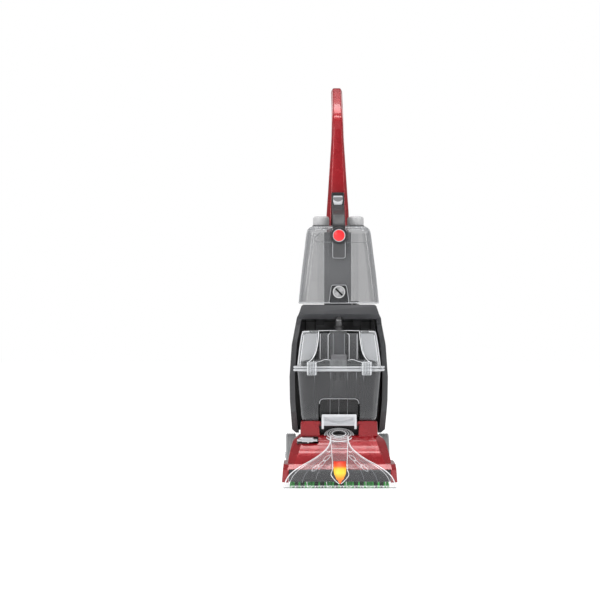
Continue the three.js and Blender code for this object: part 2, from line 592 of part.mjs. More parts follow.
function handleShell(front) {
  const outer = loft(HANDLE.map((station) => handleRing(station, 0)));
  const open = [{ ...HANDLE[0], z: HANDLE[0].z - 2 }, ...HANDLE.slice(1, -1)];
  const inner = loft(open.map((station) => handleRing(station, WALL)));
  const sign = front ? -1 : 1;
  const seam = HANDLE.map(({ y, z, tilt }) => {
    const angle = (tilt * Math.PI) / 180;
    return [y + sign * 0.2 * Math.cos(angle), z - sign * 0.2 * Math.sin(angle)];
  });
  const last = seam[seam.length - 1];
  const outline = front
    ? [...seam, [last[0] + 20, last[1]], [last[0] + 20, HEIGHT + 80], [-60, HEIGHT + 80],
      [-60, seam[0][1] - 5], [seam[0][0], seam[0][1] - 5]]
    : [...seam, [last[0] + 20, last[1]], [last[0] + 20, 600], [seam[0][0], 600]];
  const region = sideProfile(outline, -50, 50);
  const shell = common(cut(outer, inner), region);
  if (front) return cut(shell, box(-18.5, 18.5, 20, 63, SPINE_TOP - 5, 813));
  const triggerSlot = [[-4, 3], [59, 3], [59, 30], [-4, 30]].map(underGrip);
  return cut(shell, sideProfile(triggerSlot, -SLOT_HALF, SLOT_HALF));
}

function trigger() {
  const outline = [[0, 4], [55, 8], [56, 12], [46, 27], [30, 28], [10, 20], [0, 11]].map(underGrip);
  return sideProfile(outline, 1 - SLOT_HALF, SLOT_HALF - 1);
}

const triggerRod = () => rod([0, 79, 716], [0, 85, 994], 2, 8);

const upright = new THREE.Group();
named(upright, 'motor_casing', motorCasing(), 'black');
named(upright, 'pivot_pin_left', pivotPin(-1), 'steel');
named(upright, 'pivot_pin_right', pivotPin(1), 'steel');
named(upright, 'suction_motor', suctionMotor(), 'steel');
named(upright, 'suction_fan', suctionFan(), 'lightGrey');
named(upright, 'solution_pump', solutionPump(), 'lightGrey');
named(upright, 'front_housing', frontHousing(), 'darkGrey');
named(upright, 'rear_housing', rearHousing(), 'darkGrey');
named(upright, 'riser_duct', riserDuct(), 'black');
named(upright, 'valve_seat', valveSeat(), 'rubber');
named(upright, 'solution_tube', solutionTube(), 'clear');
named(upright, 'power_pedal', powerPedal(), 'darkGrey');
named(upright, 'cord_hook_lower', cordHook(330, 156.4), 'black');
named(upright, 'cord_hook_upper', upperCordHook(600, 106), 'black');
named(upright, 'handle_front', handleShell(true), 'red');
named(upright, 'handle_rear', handleShell(false), 'red');
named(upright, 'trigger', trigger(), 'black');
named(upright, 'trigger_rod', triggerRod(), 'black');

// ---- Recovery tank -------------------------------------------------------------------------------------------
const BUCKET = [
  { z: BUCKET_BOTTOM, half: 100, front: -110, back: TANK_BACK - 8, radius: 14 },
  { z: BUCKET_BOTTOM + 8, half: 103, front: -114, back: TANK_BACK - 4, radius: 18 },
  { z: BUCKET_TOP + 1, half: 114, front: -120, back: TANK_BACK, radius: 20 },
];
const LID = [
  { z: BUCKET_TOP + FLANGE + 2, half: 114, front: -119, back: TANK_BACK - 2, radius: 18 },
  { z: 336, half: 113.3, front: -118, back: TANK_BACK - 3, radius: 18 },
  { z: LID_TOP - 10, half: 103, front: -109, back: TANK_BACK - 8, radius: 16 },
  { z: LID_TOP, half: 97, front: -103, back: TANK_BACK - 14, radius: 12 },
];
const NOTCH_HALF = 63;        // set-back middle of the lid, between its two forward lobes
const NOTCH_BACK = -58;
const NOTCH_FLOOR = 342;
const FLOAT_POINT = [0, 6];
const CLIP_X = 75;

// Rim shared by the bucket and the lid, its front corners drawn out into pointed ears.
function flangeOutline(grow = 0) {
  const half = [[96, -124], [126, -100], [117.5, -68], [115.5, TANK_BACK + 2]];
  const right = half.map(([x, y]) => [x + grow, y]);
  return [...right, ...right.slice().reverse().map(([x, y]) => [-x, y])];
}

function recoveryBucket() {
  const tunnel = box(-TUNNEL_HALF, TUNNEL_HALF, -140, 80, 170, TUNNEL_TOP);
  const tunnelWall = box(-TUNNEL_HALF - WALL, TUNNEL_HALF + WALL, -140, 80, 170, TUNNEL_TOP + WALL);
  const inner = BUCKET.map((level, i) => ({ ...level, z: i === 0 ? level.z + WALL : level.z + (i === 2 ? 20 : 0) }));
  const cavity = cut(tub(inner, -WALL), tunnelWall);
  const rim = planProfile(flangeOutline(), BUCKET_TOP, BUCKET_TOP + FLANGE);
  return cut(join(tub(BUCKET), rim), cavity, tunnel);
}

function recoveryLid() {
  const notch = box(-NOTCH_HALF, NOTCH_HALF, -140, NOTCH_BACK, NOTCH_FLOOR, 440);
  const notchWall = box(-NOTCH_HALF - WALL, NOTCH_HALF + WALL, -140, NOTCH_BACK + WALL, NOTCH_FLOOR - WALL, 440);
  const inner = LID.map((level, i) => ({ ...level, z: i === 0 ? level.z - 8 : level.z - (i === 3 ? WALL : 0) }));
  const cavity = cut(tub(inner, -WALL), notchWall);
  const rim = planProfile(flangeOutline(), BUCKET_TOP + FLANGE + 1.5, BUCKET_TOP + 2 * FLANGE);
  const channelHole = box(-11, 11, -78, -64, 330, 350);
  return cut(join(tub(LID), rim), cavity, notch, channelHole);
}

function lidGasket() {
  const level = (z) => ({ z, half: 112, front: -117, back: TANK_BACK - 4, radius: 16 });
  const ring = [level(BUCKET_TOP + FLANGE + 0.3), level(BUCKET_TOP + FLANGE + 1.2)];
  const bore = [level(BUCKET_TOP + FLANGE - 1), level(BUCKET_TOP + FLANGE + 3)];
  return cut(tub(ring, 1), tub(bore, -2));
}

// Dark channel in the lid's notch that takes dirty water from the spout down into the bucket.
function lidDuct() {
  const shaft = box(-15, 15, -90, NOTCH_BACK - GAP, NOTCH_FLOOR + GAP, LID_TOP - 6);
  const foot = box(-22, 22, -98, NOTCH_BACK - GAP, NOTCH_FLOOR + GAP, NOTCH_FLOOR + 14);
  return cut(join(shaft, foot), box(-11, 11, -86, -63, NOTCH_FLOOR - 5, LID_TOP));
}

function lidClip(side) {
  const plate = box(-15, 15, -131, -127.5, 302, 340);
  const barrel = rod([-15, -127.5, 337], [15, -127.5, 337], 3, 10);
  const lip = box(-12, 12, -131, -124.4, 302, 304.5);
  const grip = box(-9, 9, -133, -130, 314, 328);
  return join(plate, barrel, lip, grip).translate([side * CLIP_X, 0, 0]);
}

function floatCage() {
  const [x, y] = FLOAT_POINT;
  const windows = [0, 60, 120].map((turn) => box(-40, 40, -7, 7, 250, 312).rotate([0, 0, turn]).translate([x, y, 0]));
  const tubeWall = sleeve([x, y, 246], [x, y, LID_TOP - WALL - GAP], 24, 21.5, 12);
  const floor = sleeve([x, y, 243], [x, y, 246.5], 24, 8, 12);
  return cut(join(tubeWall, floor), ...windows);
}

const floatBall = () => turned([[0, 247], [14, 247], [19, 252], [19, 276], [14, 282], [0, 282]],
  [...FLOAT_POINT, 0], 16);

const recovery = new THREE.Group();
named(recovery, 'recovery_bucket', recoveryBucket(), 'darkSmoke');
named(recovery, 'recovery_lid', recoveryLid(), 'clear');
named(recovery, 'lid_gasket', lidGasket(), 'rubber');
named(recovery, 'lid_duct', lidDuct(), 'darkGrey');
named(recovery, 'lid_clip_left', lidClip(-1), 'lightGrey');
named(recovery, 'lid_clip_right', lidClip(1), 'lightGrey');
named(recovery, 'float_cage', floatCage(), 'lightGrey');
named(recovery, 'float', floatBall(), 'lightGrey');

// ---- Clean water tank ----------------------------------------------------------------------------------------
const WATER = [
  { z: WATER_BOTTOM, half: 110, front: -88, back: 42, radius: 22 },
  { z: 570, half: 104, front: -88, back: 42, radius: 24 },
  { z: 690, half: 89.5, front: -74, back: 42, radius: 24 },
  { z: 706, half: 84, front: -68, back: 40, radius: 20 },
  { z: WATER_TOP, half: 72, front: -56, back: 34, radius: 14 },
];
const DIAL_FRONT = -92;
const VALVE_POINT = [45, -20];
const CARRY_HALF = 17;
const NECK_RADIUS = 17;
const BUTTON_Z = 779;         // underside of the release button

function waterTank() {
  const inner = WATER.map((level, i) => ({
    ...level, z: level.z + (i === 0 ? WALL : i === WATER.length - 1 ? -WALL : 0),
  }));
  const necks = [-CAP_X, CAP_X].map((x) =>
    rod([x, CAP_Y, WATER_TOP - 12], [x, CAP_Y, WATER_TOP + 10], NECK_RADIUS, 14));
  const mouths = [-CAP_X, CAP_X].map((x) =>
    rod([x, CAP_Y, WATER_TOP - 20], [x, CAP_Y, WATER_TOP + 14], NECK_RADIUS - 2.5, 14));
  const valve = rod([...VALVE_POINT, WATER_BOTTOM - 5], [...VALVE_POINT, WATER_BOTTOM + 8], 9.5, 16);
  const dialSeat = rod([0, -100, DIAL_Z], [0, DIAL_FRONT + 8, DIAL_Z], 12, 20);
  return cut(join(tub(WATER), ...necks), tub(inner, -WALL), ...mouths, valve, dialSeat);
}

// Inner cup for detergent on the left, filled through the left cap.
function detergentCup() {
  const outer = [{ z: 560, half: 26, front: -40, back: 26, radius: 12 },
    { z: 692, half: 26, front: -40, back: 26, radius: 12 }];
  const inner = [{ ...outer[0], z: 563 }, { ...outer[1], z: 700 }];
  return cut(tub(outer), tub(inner, -2.5)).translate([-50, 0, 0]);
}

// Carry handle: a strap from the latch head in the handle's recess, over the tank and down its front.
function carryHandle() {
  const strap = sideProfile([[24, 714.4], [36, 714.4], [50, 736], [60, 764], [60, 808], [40, 812], [32, 790],
    [24, 776], [4, 766], [-24, 758], [-58, 742], [-84, 716], [-94, 684], [-97, 640], [-95, 624], [-91.5, 624],
    [-87, 660], [-79.5, 684], [-74, 704], [-52, 728], [-20, 743], [8, 750], [30, 752], [36, 744]],
  -CARRY_HALF, CARRY_HALF);
  const boss = rod([0, -94, BADGE_Z], [0, -77, BADGE_Z], 24, 28);
  const badgeSeat = rod([0, -98, BADGE_Z], [0, -91, BADGE_Z], 18, 28);
  const buttonSeat = box(-14, 14, 20, 50, BUTTON_Z - 8, BUTTON_Z + 24);
  return cut(join(strap, boss), badgeSeat, buttonSeat, tub(WATER, GAP));
}

const badge = () => turned([[0, 0], [17.5, 0], [17.5, 2.4], [15, 3.4], [0, 4.2]], [0, 0, 0], 28)
  .rotate([90, 0, 0]).translate([0, -91.4, BADGE_Z]);

function releaseButton() {
  const outline = [[-13, 0], [13, 0], [13, 15], [9, 22.5], [-9, 22.5], [-13, 15]];
  return frontProfile(outline.map(([x, z]) => [x, BUTTON_Z + z]), 33, 45);
}

const buttonSpring = () => sleeve([0, 42, BUTTON_Z - 7.7], [0, 42, BUTTON_Z - GAP], 5, 3.5, 12);

function cap(side) {
  const profile = [[NECK_RADIUS + 1, WATER_TOP + 1.5], [CAP_RADIUS, WATER_TOP + 1.5], [CAP_RADIUS, WATER_TOP + 20],
    [CAP_RADIUS - 3, WATER_TOP + 25], [8, WATER_TOP + 28], [0, WATER_TOP + 28], [0, WATER_TOP + 12],
    [NECK_RADIUS + 1, WATER_TOP + 12], [NECK_RADIUS + 1, WATER_TOP + 1.5]];
  return turned(profile, [side * CAP_X, CAP_Y, 0], 20);
}

function dialBezel() {
  return cut(frontProfile([[-29, WATER_BOTTOM + 1], [29, WATER_BOTTOM + 1], [21, 549], [-21, 549]],
    DIAL_FRONT, -88.4, 4), rod([0, -110, DIAL_Z], [0, -70, DIAL_Z], 11, 24));
}

function mixDial() {
  const face = rod([0, DIAL_FRONT - 9, DIAL_Z], [0, DIAL_FRONT - GAP, DIAL_Z], 17, 28);
  const stem = rod([0, DIAL_FRONT - 2, DIAL_Z], [0, -80, DIAL_Z], 10, 20);
  const slot = box(-15, 15, -120, DIAL_FRONT - 5, -3, 3).translate([0, 0, 0]).rotate([0, 45, 0])
    .translate([0, 0, DIAL_Z]);
  return cut(join(face, stem), slot);
}

const tankValve = () => turned([[0, 489], [4, 489], [4, 497], [9, 497], [9, 501.4], [12, 501.4], [12, 505], [0, 505]],
  [...VALVE_POINT, 0], 16);

const water = new THREE.Group();
named(water, 'water_tank', waterTank(), 'smoke');
named(water, 'detergent_cup', detergentCup(), 'clear');
named(water, 'carry_handle', carryHandle(), 'black');
named(water, 'badge', badge(), 'red');
named(water, 'release_button', releaseButton(), 'silver');
named(water, 'button_spring', buttonSpring(), 'steel');
named(water, 'cap_left', cap(-1), 'lightGrey');
named(water, 'cap_right', cap(1), 'lightGrey');
named(water, 'dial_bezel', dialBezel(), 'darkSmoke');
named(water, 'mix_dial', mixDial(), 'lightGrey');
named(water, 'tank_valve', tankValve(), 'rubber');

const group = new THREE.Group();
group.add(base, upright, recovery, water);
export default group;
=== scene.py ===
# Looks of an upright carpet cleaner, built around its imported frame. Lengths are written in millimetres where a
# helper takes them, and every object is in metres, in the frame's own axes: X right, -Y front, Z up.
import math

import bmesh
import bpy
from mathutils import Matrix, Vector


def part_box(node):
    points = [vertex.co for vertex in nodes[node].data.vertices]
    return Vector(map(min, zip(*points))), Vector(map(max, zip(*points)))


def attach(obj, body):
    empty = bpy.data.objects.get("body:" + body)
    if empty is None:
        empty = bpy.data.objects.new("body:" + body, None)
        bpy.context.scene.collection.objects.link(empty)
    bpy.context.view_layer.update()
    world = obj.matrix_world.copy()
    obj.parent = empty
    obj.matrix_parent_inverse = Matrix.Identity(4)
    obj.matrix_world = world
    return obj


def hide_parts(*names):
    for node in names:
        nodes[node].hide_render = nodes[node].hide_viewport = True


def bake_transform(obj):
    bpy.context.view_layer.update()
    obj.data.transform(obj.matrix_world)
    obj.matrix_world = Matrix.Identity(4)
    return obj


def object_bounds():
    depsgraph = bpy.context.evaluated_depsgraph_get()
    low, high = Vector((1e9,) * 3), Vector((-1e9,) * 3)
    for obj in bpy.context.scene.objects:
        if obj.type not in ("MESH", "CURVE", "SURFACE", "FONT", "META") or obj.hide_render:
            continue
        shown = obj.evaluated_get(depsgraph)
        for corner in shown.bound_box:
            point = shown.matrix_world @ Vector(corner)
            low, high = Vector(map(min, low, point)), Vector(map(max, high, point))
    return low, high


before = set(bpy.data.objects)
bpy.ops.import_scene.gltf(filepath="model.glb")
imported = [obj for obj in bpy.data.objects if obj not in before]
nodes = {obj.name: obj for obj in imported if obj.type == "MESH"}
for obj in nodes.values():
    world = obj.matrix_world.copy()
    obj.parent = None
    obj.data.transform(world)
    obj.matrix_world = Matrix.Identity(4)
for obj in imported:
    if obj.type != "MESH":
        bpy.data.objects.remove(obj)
cad_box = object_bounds()

MM = 0.001
scene = bpy.context.scene


def limits(node):
    """Lowest and highest corner of a CAD node, in millimetres."""
    low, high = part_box(node)
    return low / MM, high / MM


# ---- Camera, light and floor ---------------------------------------------------------------------------------
VIEW_DISTANCE = 4.5          # from the nozzle's lip to the lens
VIEW_HEIGHT = 0.508
VIEW_SIDE = -0.107           # the machine stands right of the picture's middle
LENS = 101.0
AMBIENT = 0.42
KEY_POWER = 56.0


def add_camera():
    data = bpy.data.cameras.new("camera")
    data.lens = LENS
    data.sensor_width = 36.0
    data.clip_end = 60.0
    camera = bpy.data.objects.new("camera", data)
    scene.collection.objects.link(camera)
    camera.location = (VIEW_SIDE, cad_box[0][1] - VIEW_DISTANCE, VIEW_HEIGHT)
    camera.rotation_euler = (math.radians(90), 0, 0)
    scene.camera = camera


def add_area(name, place, target, size, power, shape="RECTANGLE", size_y=None):
    data = bpy.data.lights.new(name, "AREA")
    data.energy = power
    data.shape = shape
    data.size = size
    data.size_y = size_y or size
    light = bpy.data.objects.new(name, data)
    scene.collection.objects.link(light)
    light.location = place
    direction = Vector(target) - Vector(place)
    light.rotation_euler = direction.to_track_quat("-Z", "Y").to_euler()


def add_lights():
    middle = (0, 0, 0.5)
    add_area("key_left", (-2.4, -2.4, 1.9), middle, 0.9, KEY_POWER, size_y=2.2)
    add_area("fill_right", (2.6, -2.0, 1.3), middle, 0.7, KEY_POWER * 0.6, size_y=2.2)
    add_area("front_soft", (0.4, -3.4, 3.4), (0, 0, 0.2), 1.6, KEY_POWER * 0.1)
    add_area("strip", (-0.5, -2.0, 1.15), (0, -0.15, 0.08), 0.25, KEY_POWER * 0.12, size_y=1.6)
    add_area("hood_band", (0, -0.6, 2.3), (0, -0.6, 0), 1.6, KEY_POWER * 0.18, size_y=0.16)
    add_area("top", (0, 0.3, 3.0), (0, 0, 0.3), 1.2, KEY_POWER * 0.5)
    add_area("back_left", (-1.8, 2.4, 1.8), middle, 1.2, KEY_POWER * 0.12)
    add_area("back_right", (1.8, 2.4, 1.8), middle, 1.2, KEY_POWER * 0.12)
    add_world()


def add_world():
    """White behind the machine, dimmer as a light on it, so that the plastics keep their contrast."""
    world = bpy.data.worlds.new("studio")
    scene.world = world
    world.use_nodes = True
    tree = world.node_tree
    background = tree.nodes["Background"]
    background.inputs["Color"].default_value = (1, 1, 1, 1)
    path = tree.nodes.new("ShaderNodeLightPath")
    strength = tree.nodes.new("ShaderNodeMapRange")
    tree.links.new(path.outputs["Is Camera Ray"], strength.inputs["Value"])
    strength.inputs["To Min"].default_value = AMBIENT
    strength.inputs["To Max"].default_value = 1.0
    tree.links.new(strength.outputs["Result"], background.inputs["Strength"])
    scene.view_settings.view_transform = "Standard"


def add_floor():
    mesh = bpy.data.meshes.new("floor")
    half = 9.0
    corners = [(-half, -half, 0), (half, -half, 0), (half, half, 0), (-half, half, 0)]
    mesh.from_pydata(corners, [], [(0, 1, 2, 3)])
    floor = bpy.data.objects.new("floor", mesh)
    scene.collection.objects.link(floor)
    material = bpy.data.materials.new("floor_white")
    material.use_nodes = True
    shader = material.node_tree.nodes["Principled BSDF"]
    shader.inputs["Base Color"].default_value = (0.93, 0.93, 0.93, 1)
    shader.inputs["Roughness"].default_value = 0.12
    shader.inputs["Specular IOR Level"].default_value = 0.4
    shader.inputs["Emission Color"].default_value = (1, 1, 1, 1)
    shader.inputs["Emission Strength"].default_value = 0.6
    mesh.materials.append(material)


# ---- Materials -----------------------------------------------------------------------------------------------
def shader_of(name, roughness, metallic=0.0):
    """A new material and its tools: node tree, shader node and a helper that adds nodes."""
    material = bpy.data.materials.new(name)
    material.use_nodes = True
    tree = material.node_tree
    shader = tree.nodes["Principled BSDF"]
    shader.inputs["Roughness"].default_value = roughness
    shader.inputs["Metallic"].default_value = metallic
    return material, tree, shader


def add_node(tree, kind, inputs=None, **settings):
    node = tree.nodes.new(kind)
    for key, value in settings.items():
        setattr(node, key, value)
    for key, value in (inputs or {}).items():
        if hasattr(value, "is_output"):
            tree.links.new(value, node.inputs[key])
        else:
            node.inputs[key].default_value = value
    return node


def noise(tree, scale, detail=3.0, stretch=(1, 1, 1)):
    """Noise fixed to the object, with scale counted in cells per metre."""
    place = add_node(tree, "ShaderNodeTexCoord")
    mapping = add_node(tree, "ShaderNodeMapping", {"Vector": place.outputs["Object"], "Scale": stretch})
    cells = add_node(tree, "ShaderNodeTexNoise", {"Vector": mapping.outputs["Vector"], "Scale": scale,
                                                  "Detail": detail})
    return cells.outputs["Fac"]


def ramp(tree, value, low, high, start=0.35, end=0.65):
    """Value spread between two colours or numbers."""
    node = add_node(tree, "ShaderNodeValToRGB", {"Fac": value})
    node.color_ramp.elements[0].position = start
    node.color_ramp.elements[1].position = end
    as_colour = lambda c: (*c, 1.0) if hasattr(c, "__len__") else (c, c, c, 1.0)
    node.color_ramp.elements[0].color = as_colour(low)
    node.color_ramp.elements[1].color = as_colour(high)
    return node.outputs["Color"]


def add_bump(tree, shader, height, strength, distance=0.0004):
    bump = add_node(tree, "ShaderNodeBump", {"Height": height, "Strength": strength, "Distance": distance})
    tree.links.new(bump.outputs["Normal"], shader.inputs["Normal"])


def painted_edge_highlight(tree, plain, highlight_colour, amount=0.5):
    """Painted highlight: colour that goes paler along raised edges, towards the given highlight colour."""
    geometry = add_node(tree, "ShaderNodeNewGeometry")
    edge = add_node(tree, "ShaderNodeValToRGB", {"Fac": geometry.outputs["Pointiness"]})
    edge.color_ramp.elements[0].position = 0.52
    edge.color_ramp.elements[1].position = 0.60
    edge.color_ramp.elements[1].color = (amount, amount, amount, 1)
    mix = add_node(tree, "ShaderNodeMix", {"Factor": edge.outputs["Color"]}, data_type="RGBA")
    tree.links.new(plain, mix.inputs["A"])
    mix.inputs["B"].default_value = (*highlight_colour, 1)
    return mix.outputs["Result"]


def moulded(name, dark, light, roughness, grain=900.0, bump=0.12, coat=0.0, specular=0.5, highlight_colour=None):
    """Opaque moulded plastic: faint cloudy colour, uneven sheen, fine grain and paler edges that are a painted
    highlight.
    """
    material, tree, shader = shader_of(name, roughness)
    colour = ramp(tree, noise(tree, 14.0), dark, light)
    if highlight_colour:
        colour = painted_edge_highlight(tree, colour, highlight_colour)
    tree.links.new(colour, shader.inputs["Base Color"])
    sheen = ramp(tree, noise(tree, 45.0, 5.0), max(roughness - 0.07, 0.02), roughness + 0.08)
    tree.links.new(sheen, shader.inputs["Roughness"])
    shader.inputs["Coat Weight"].default_value = coat
    shader.inputs["Coat Roughness"].default_value = 0.06
    shader.inputs["Specular IOR Level"].default_value = specular
    add_bump(tree, shader, noise(tree, grain, 2.0), bump, 0.00015)
    return material


def pearl(name, deep, bright, roughness=0.2):
    """Pearl plastic under a clear coat: fine bright flakes in a deep colour."""
    material, tree, shader = shader_of(name, roughness, 0.25)
    base = ramp(tree, noise(tree, 9.0), deep, bright)
    flakes = add_node(tree, "ShaderNodeTexVoronoi", {"Scale": 1600.0})
    sparkle = ramp(tree, flakes.outputs["Distance"], (1.25, 1.2, 1.2), (0.9, 0.9, 0.9), 0.05, 0.5)
    mix = add_node(tree, "ShaderNodeMix", {"Factor": 0.35}, data_type="RGBA", blend_type="MULTIPLY")
    tree.links.new(base, mix.inputs["A"])
    tree.links.new(sparkle, mix.inputs["B"])
    tree.links.new(mix.outputs["Result"], shader.inputs["Base Color"])
    uneven = ramp(tree, noise(tree, 30.0, 4.0), roughness - 0.05, roughness + 0.07)
    tree.links.new(uneven, shader.inputs["Roughness"])
    shader.inputs["Coat Weight"].default_value = 0.5
    shader.inputs["Coat Roughness"].default_value = 0.05
    shader.inputs["Specular IOR Level"].default_value = 0.3
    add_bump(tree, shader, noise(tree, 260.0, 2.0), 0.04, 0.0002)
    return material


def see_through(name, tint, face_alpha, edge_alpha, roughness=0.08, rim=(0.9, 0.92, 0.94), power=0.35):
    """Transparent moulded plastic: thin where seen square on, dense and pale where seen edge on."""
    material, tree, shader = shader_of(name, roughness)
    facing = add_node(tree, "ShaderNodeLayerWeight", {"Blend": power}).outputs["Facing"]
    cloud = noise(tree, 11.0, 2.0)
    body = ramp(tree, cloud, [c * 0.94 for c in tint], [min(c * 1.05, 1.0) for c in tint])
    colour = add_node(tree, "ShaderNodeMix", {"Factor": facing}, data_type="RGBA")
    tree.links.new(body, colour.inputs["A"])
    colour.inputs["B"].default_value = (*rim, 1)
    tree.links.new(colour.outputs["Result"], shader.inputs["Base Color"])
    alpha = add_node(tree, "ShaderNodeMapRange",
                     {"Value": facing, "To Min": face_alpha, "To Max": edge_alpha})
    tree.links.new(alpha.outputs["Result"], shader.inputs["Alpha"])
    uneven = ramp(tree, noise(tree, 35.0, 4.0), max(roughness - 0.03, 0.02), roughness + 0.06)
    tree.links.new(uneven, shader.inputs["Roughness"])
    shader.inputs["Specular IOR Level"].default_value = 0.6
    add_bump(tree, shader, noise(tree, 55.0, 1.0), 0.05, 0.0004)
    return material


def brushed(name, dark, light, roughness=0.3, metallic=0.9):
    """Bare or silver-painted metal with fine lines along X."""
    material, tree, shader = shader_of(name, roughness, metallic)
    lines = noise(tree, 240.0, 3.0, (0.08, 1, 1))
    tree.links.new(ramp(tree, lines, dark, light), shader.inputs["Base Color"])
    tree.links.new(ramp(tree, lines, roughness - 0.06, roughness + 0.1), shader.inputs["Roughness"])
    add_bump(tree, shader, lines, 0.08, 0.0001)
    return material


def edge_line(name, colour, alpha, glow=0.0):
    """Pale plastic seen through its own thickness, for rims, ribs and wall edges of the clear mouldings; its glow
    is a painted highlight.
    """
    material, tree, shader = shader_of(name, 0.25)
    dark = [c * 0.9 for c in colour]
    tree.links.new(ramp(tree, noise(tree, 60.0), dark, colour), shader.inputs["Base Color"])
    shader.inputs["Alpha"].default_value = alpha
    shader.inputs["Emission Color"].default_value = (*colour, 1)
    shader.inputs["Emission Strength"].default_value = glow
    add_bump(tree, shader, noise(tree, 300.0), 0.1)
    return material


LABEL_LOW = 0.016            # lower and upper end of the coloured patch, in metres above the floor
LABEL_HIGH = 0.073
LABEL_COLOURS = [(0.0, (0.75, 0.05, 0.02)), (0.25, (0.95, 0.25, 0.02)), (0.5, (1.0, 0.62, 0.04)),
                 (0.68, (1.0, 0.55, 0.03)), (0.8, (0.85, 0.10, 0.02)), (1.0, (0.72, 0.04, 0.02))]


def label_material():
    """Printed patch that runs from red through orange to yellow and back."""
    material, tree, shader = shader_of("label", 0.4)
    place = add_node(tree, "ShaderNodeTexCoord")
    split = add_node(tree, "ShaderNodeSeparateXYZ", {"Vector": place.outputs["Object"]})
    share = add_node(tree, "ShaderNodeMapRange", {"Value": split.outputs["Z"], "From Min": LABEL_LOW,
                                                  "From Max": LABEL_HIGH})
    blend = add_node(tree, "ShaderNodeValToRGB", {"Fac": share.outputs["Result"]})
    stops = blend.color_ramp.elements
    while len(stops) < len(LABEL_COLOURS):
        stops.new(0.5)
    for stop, (position, colour) in zip(stops, LABEL_COLOURS):
        stop.position = position
        stop.color = (*colour, 1)
    tree.links.new(blend.outputs["Color"], shader.inputs["Base Color"])
    tree.links.new(ramp(tree, noise(tree, 200.0), 0.34, 0.46), shader.inputs["Roughness"])
    add_bump(tree, shader, noise(tree, 700.0), 0.1, 0.0001)
    return material


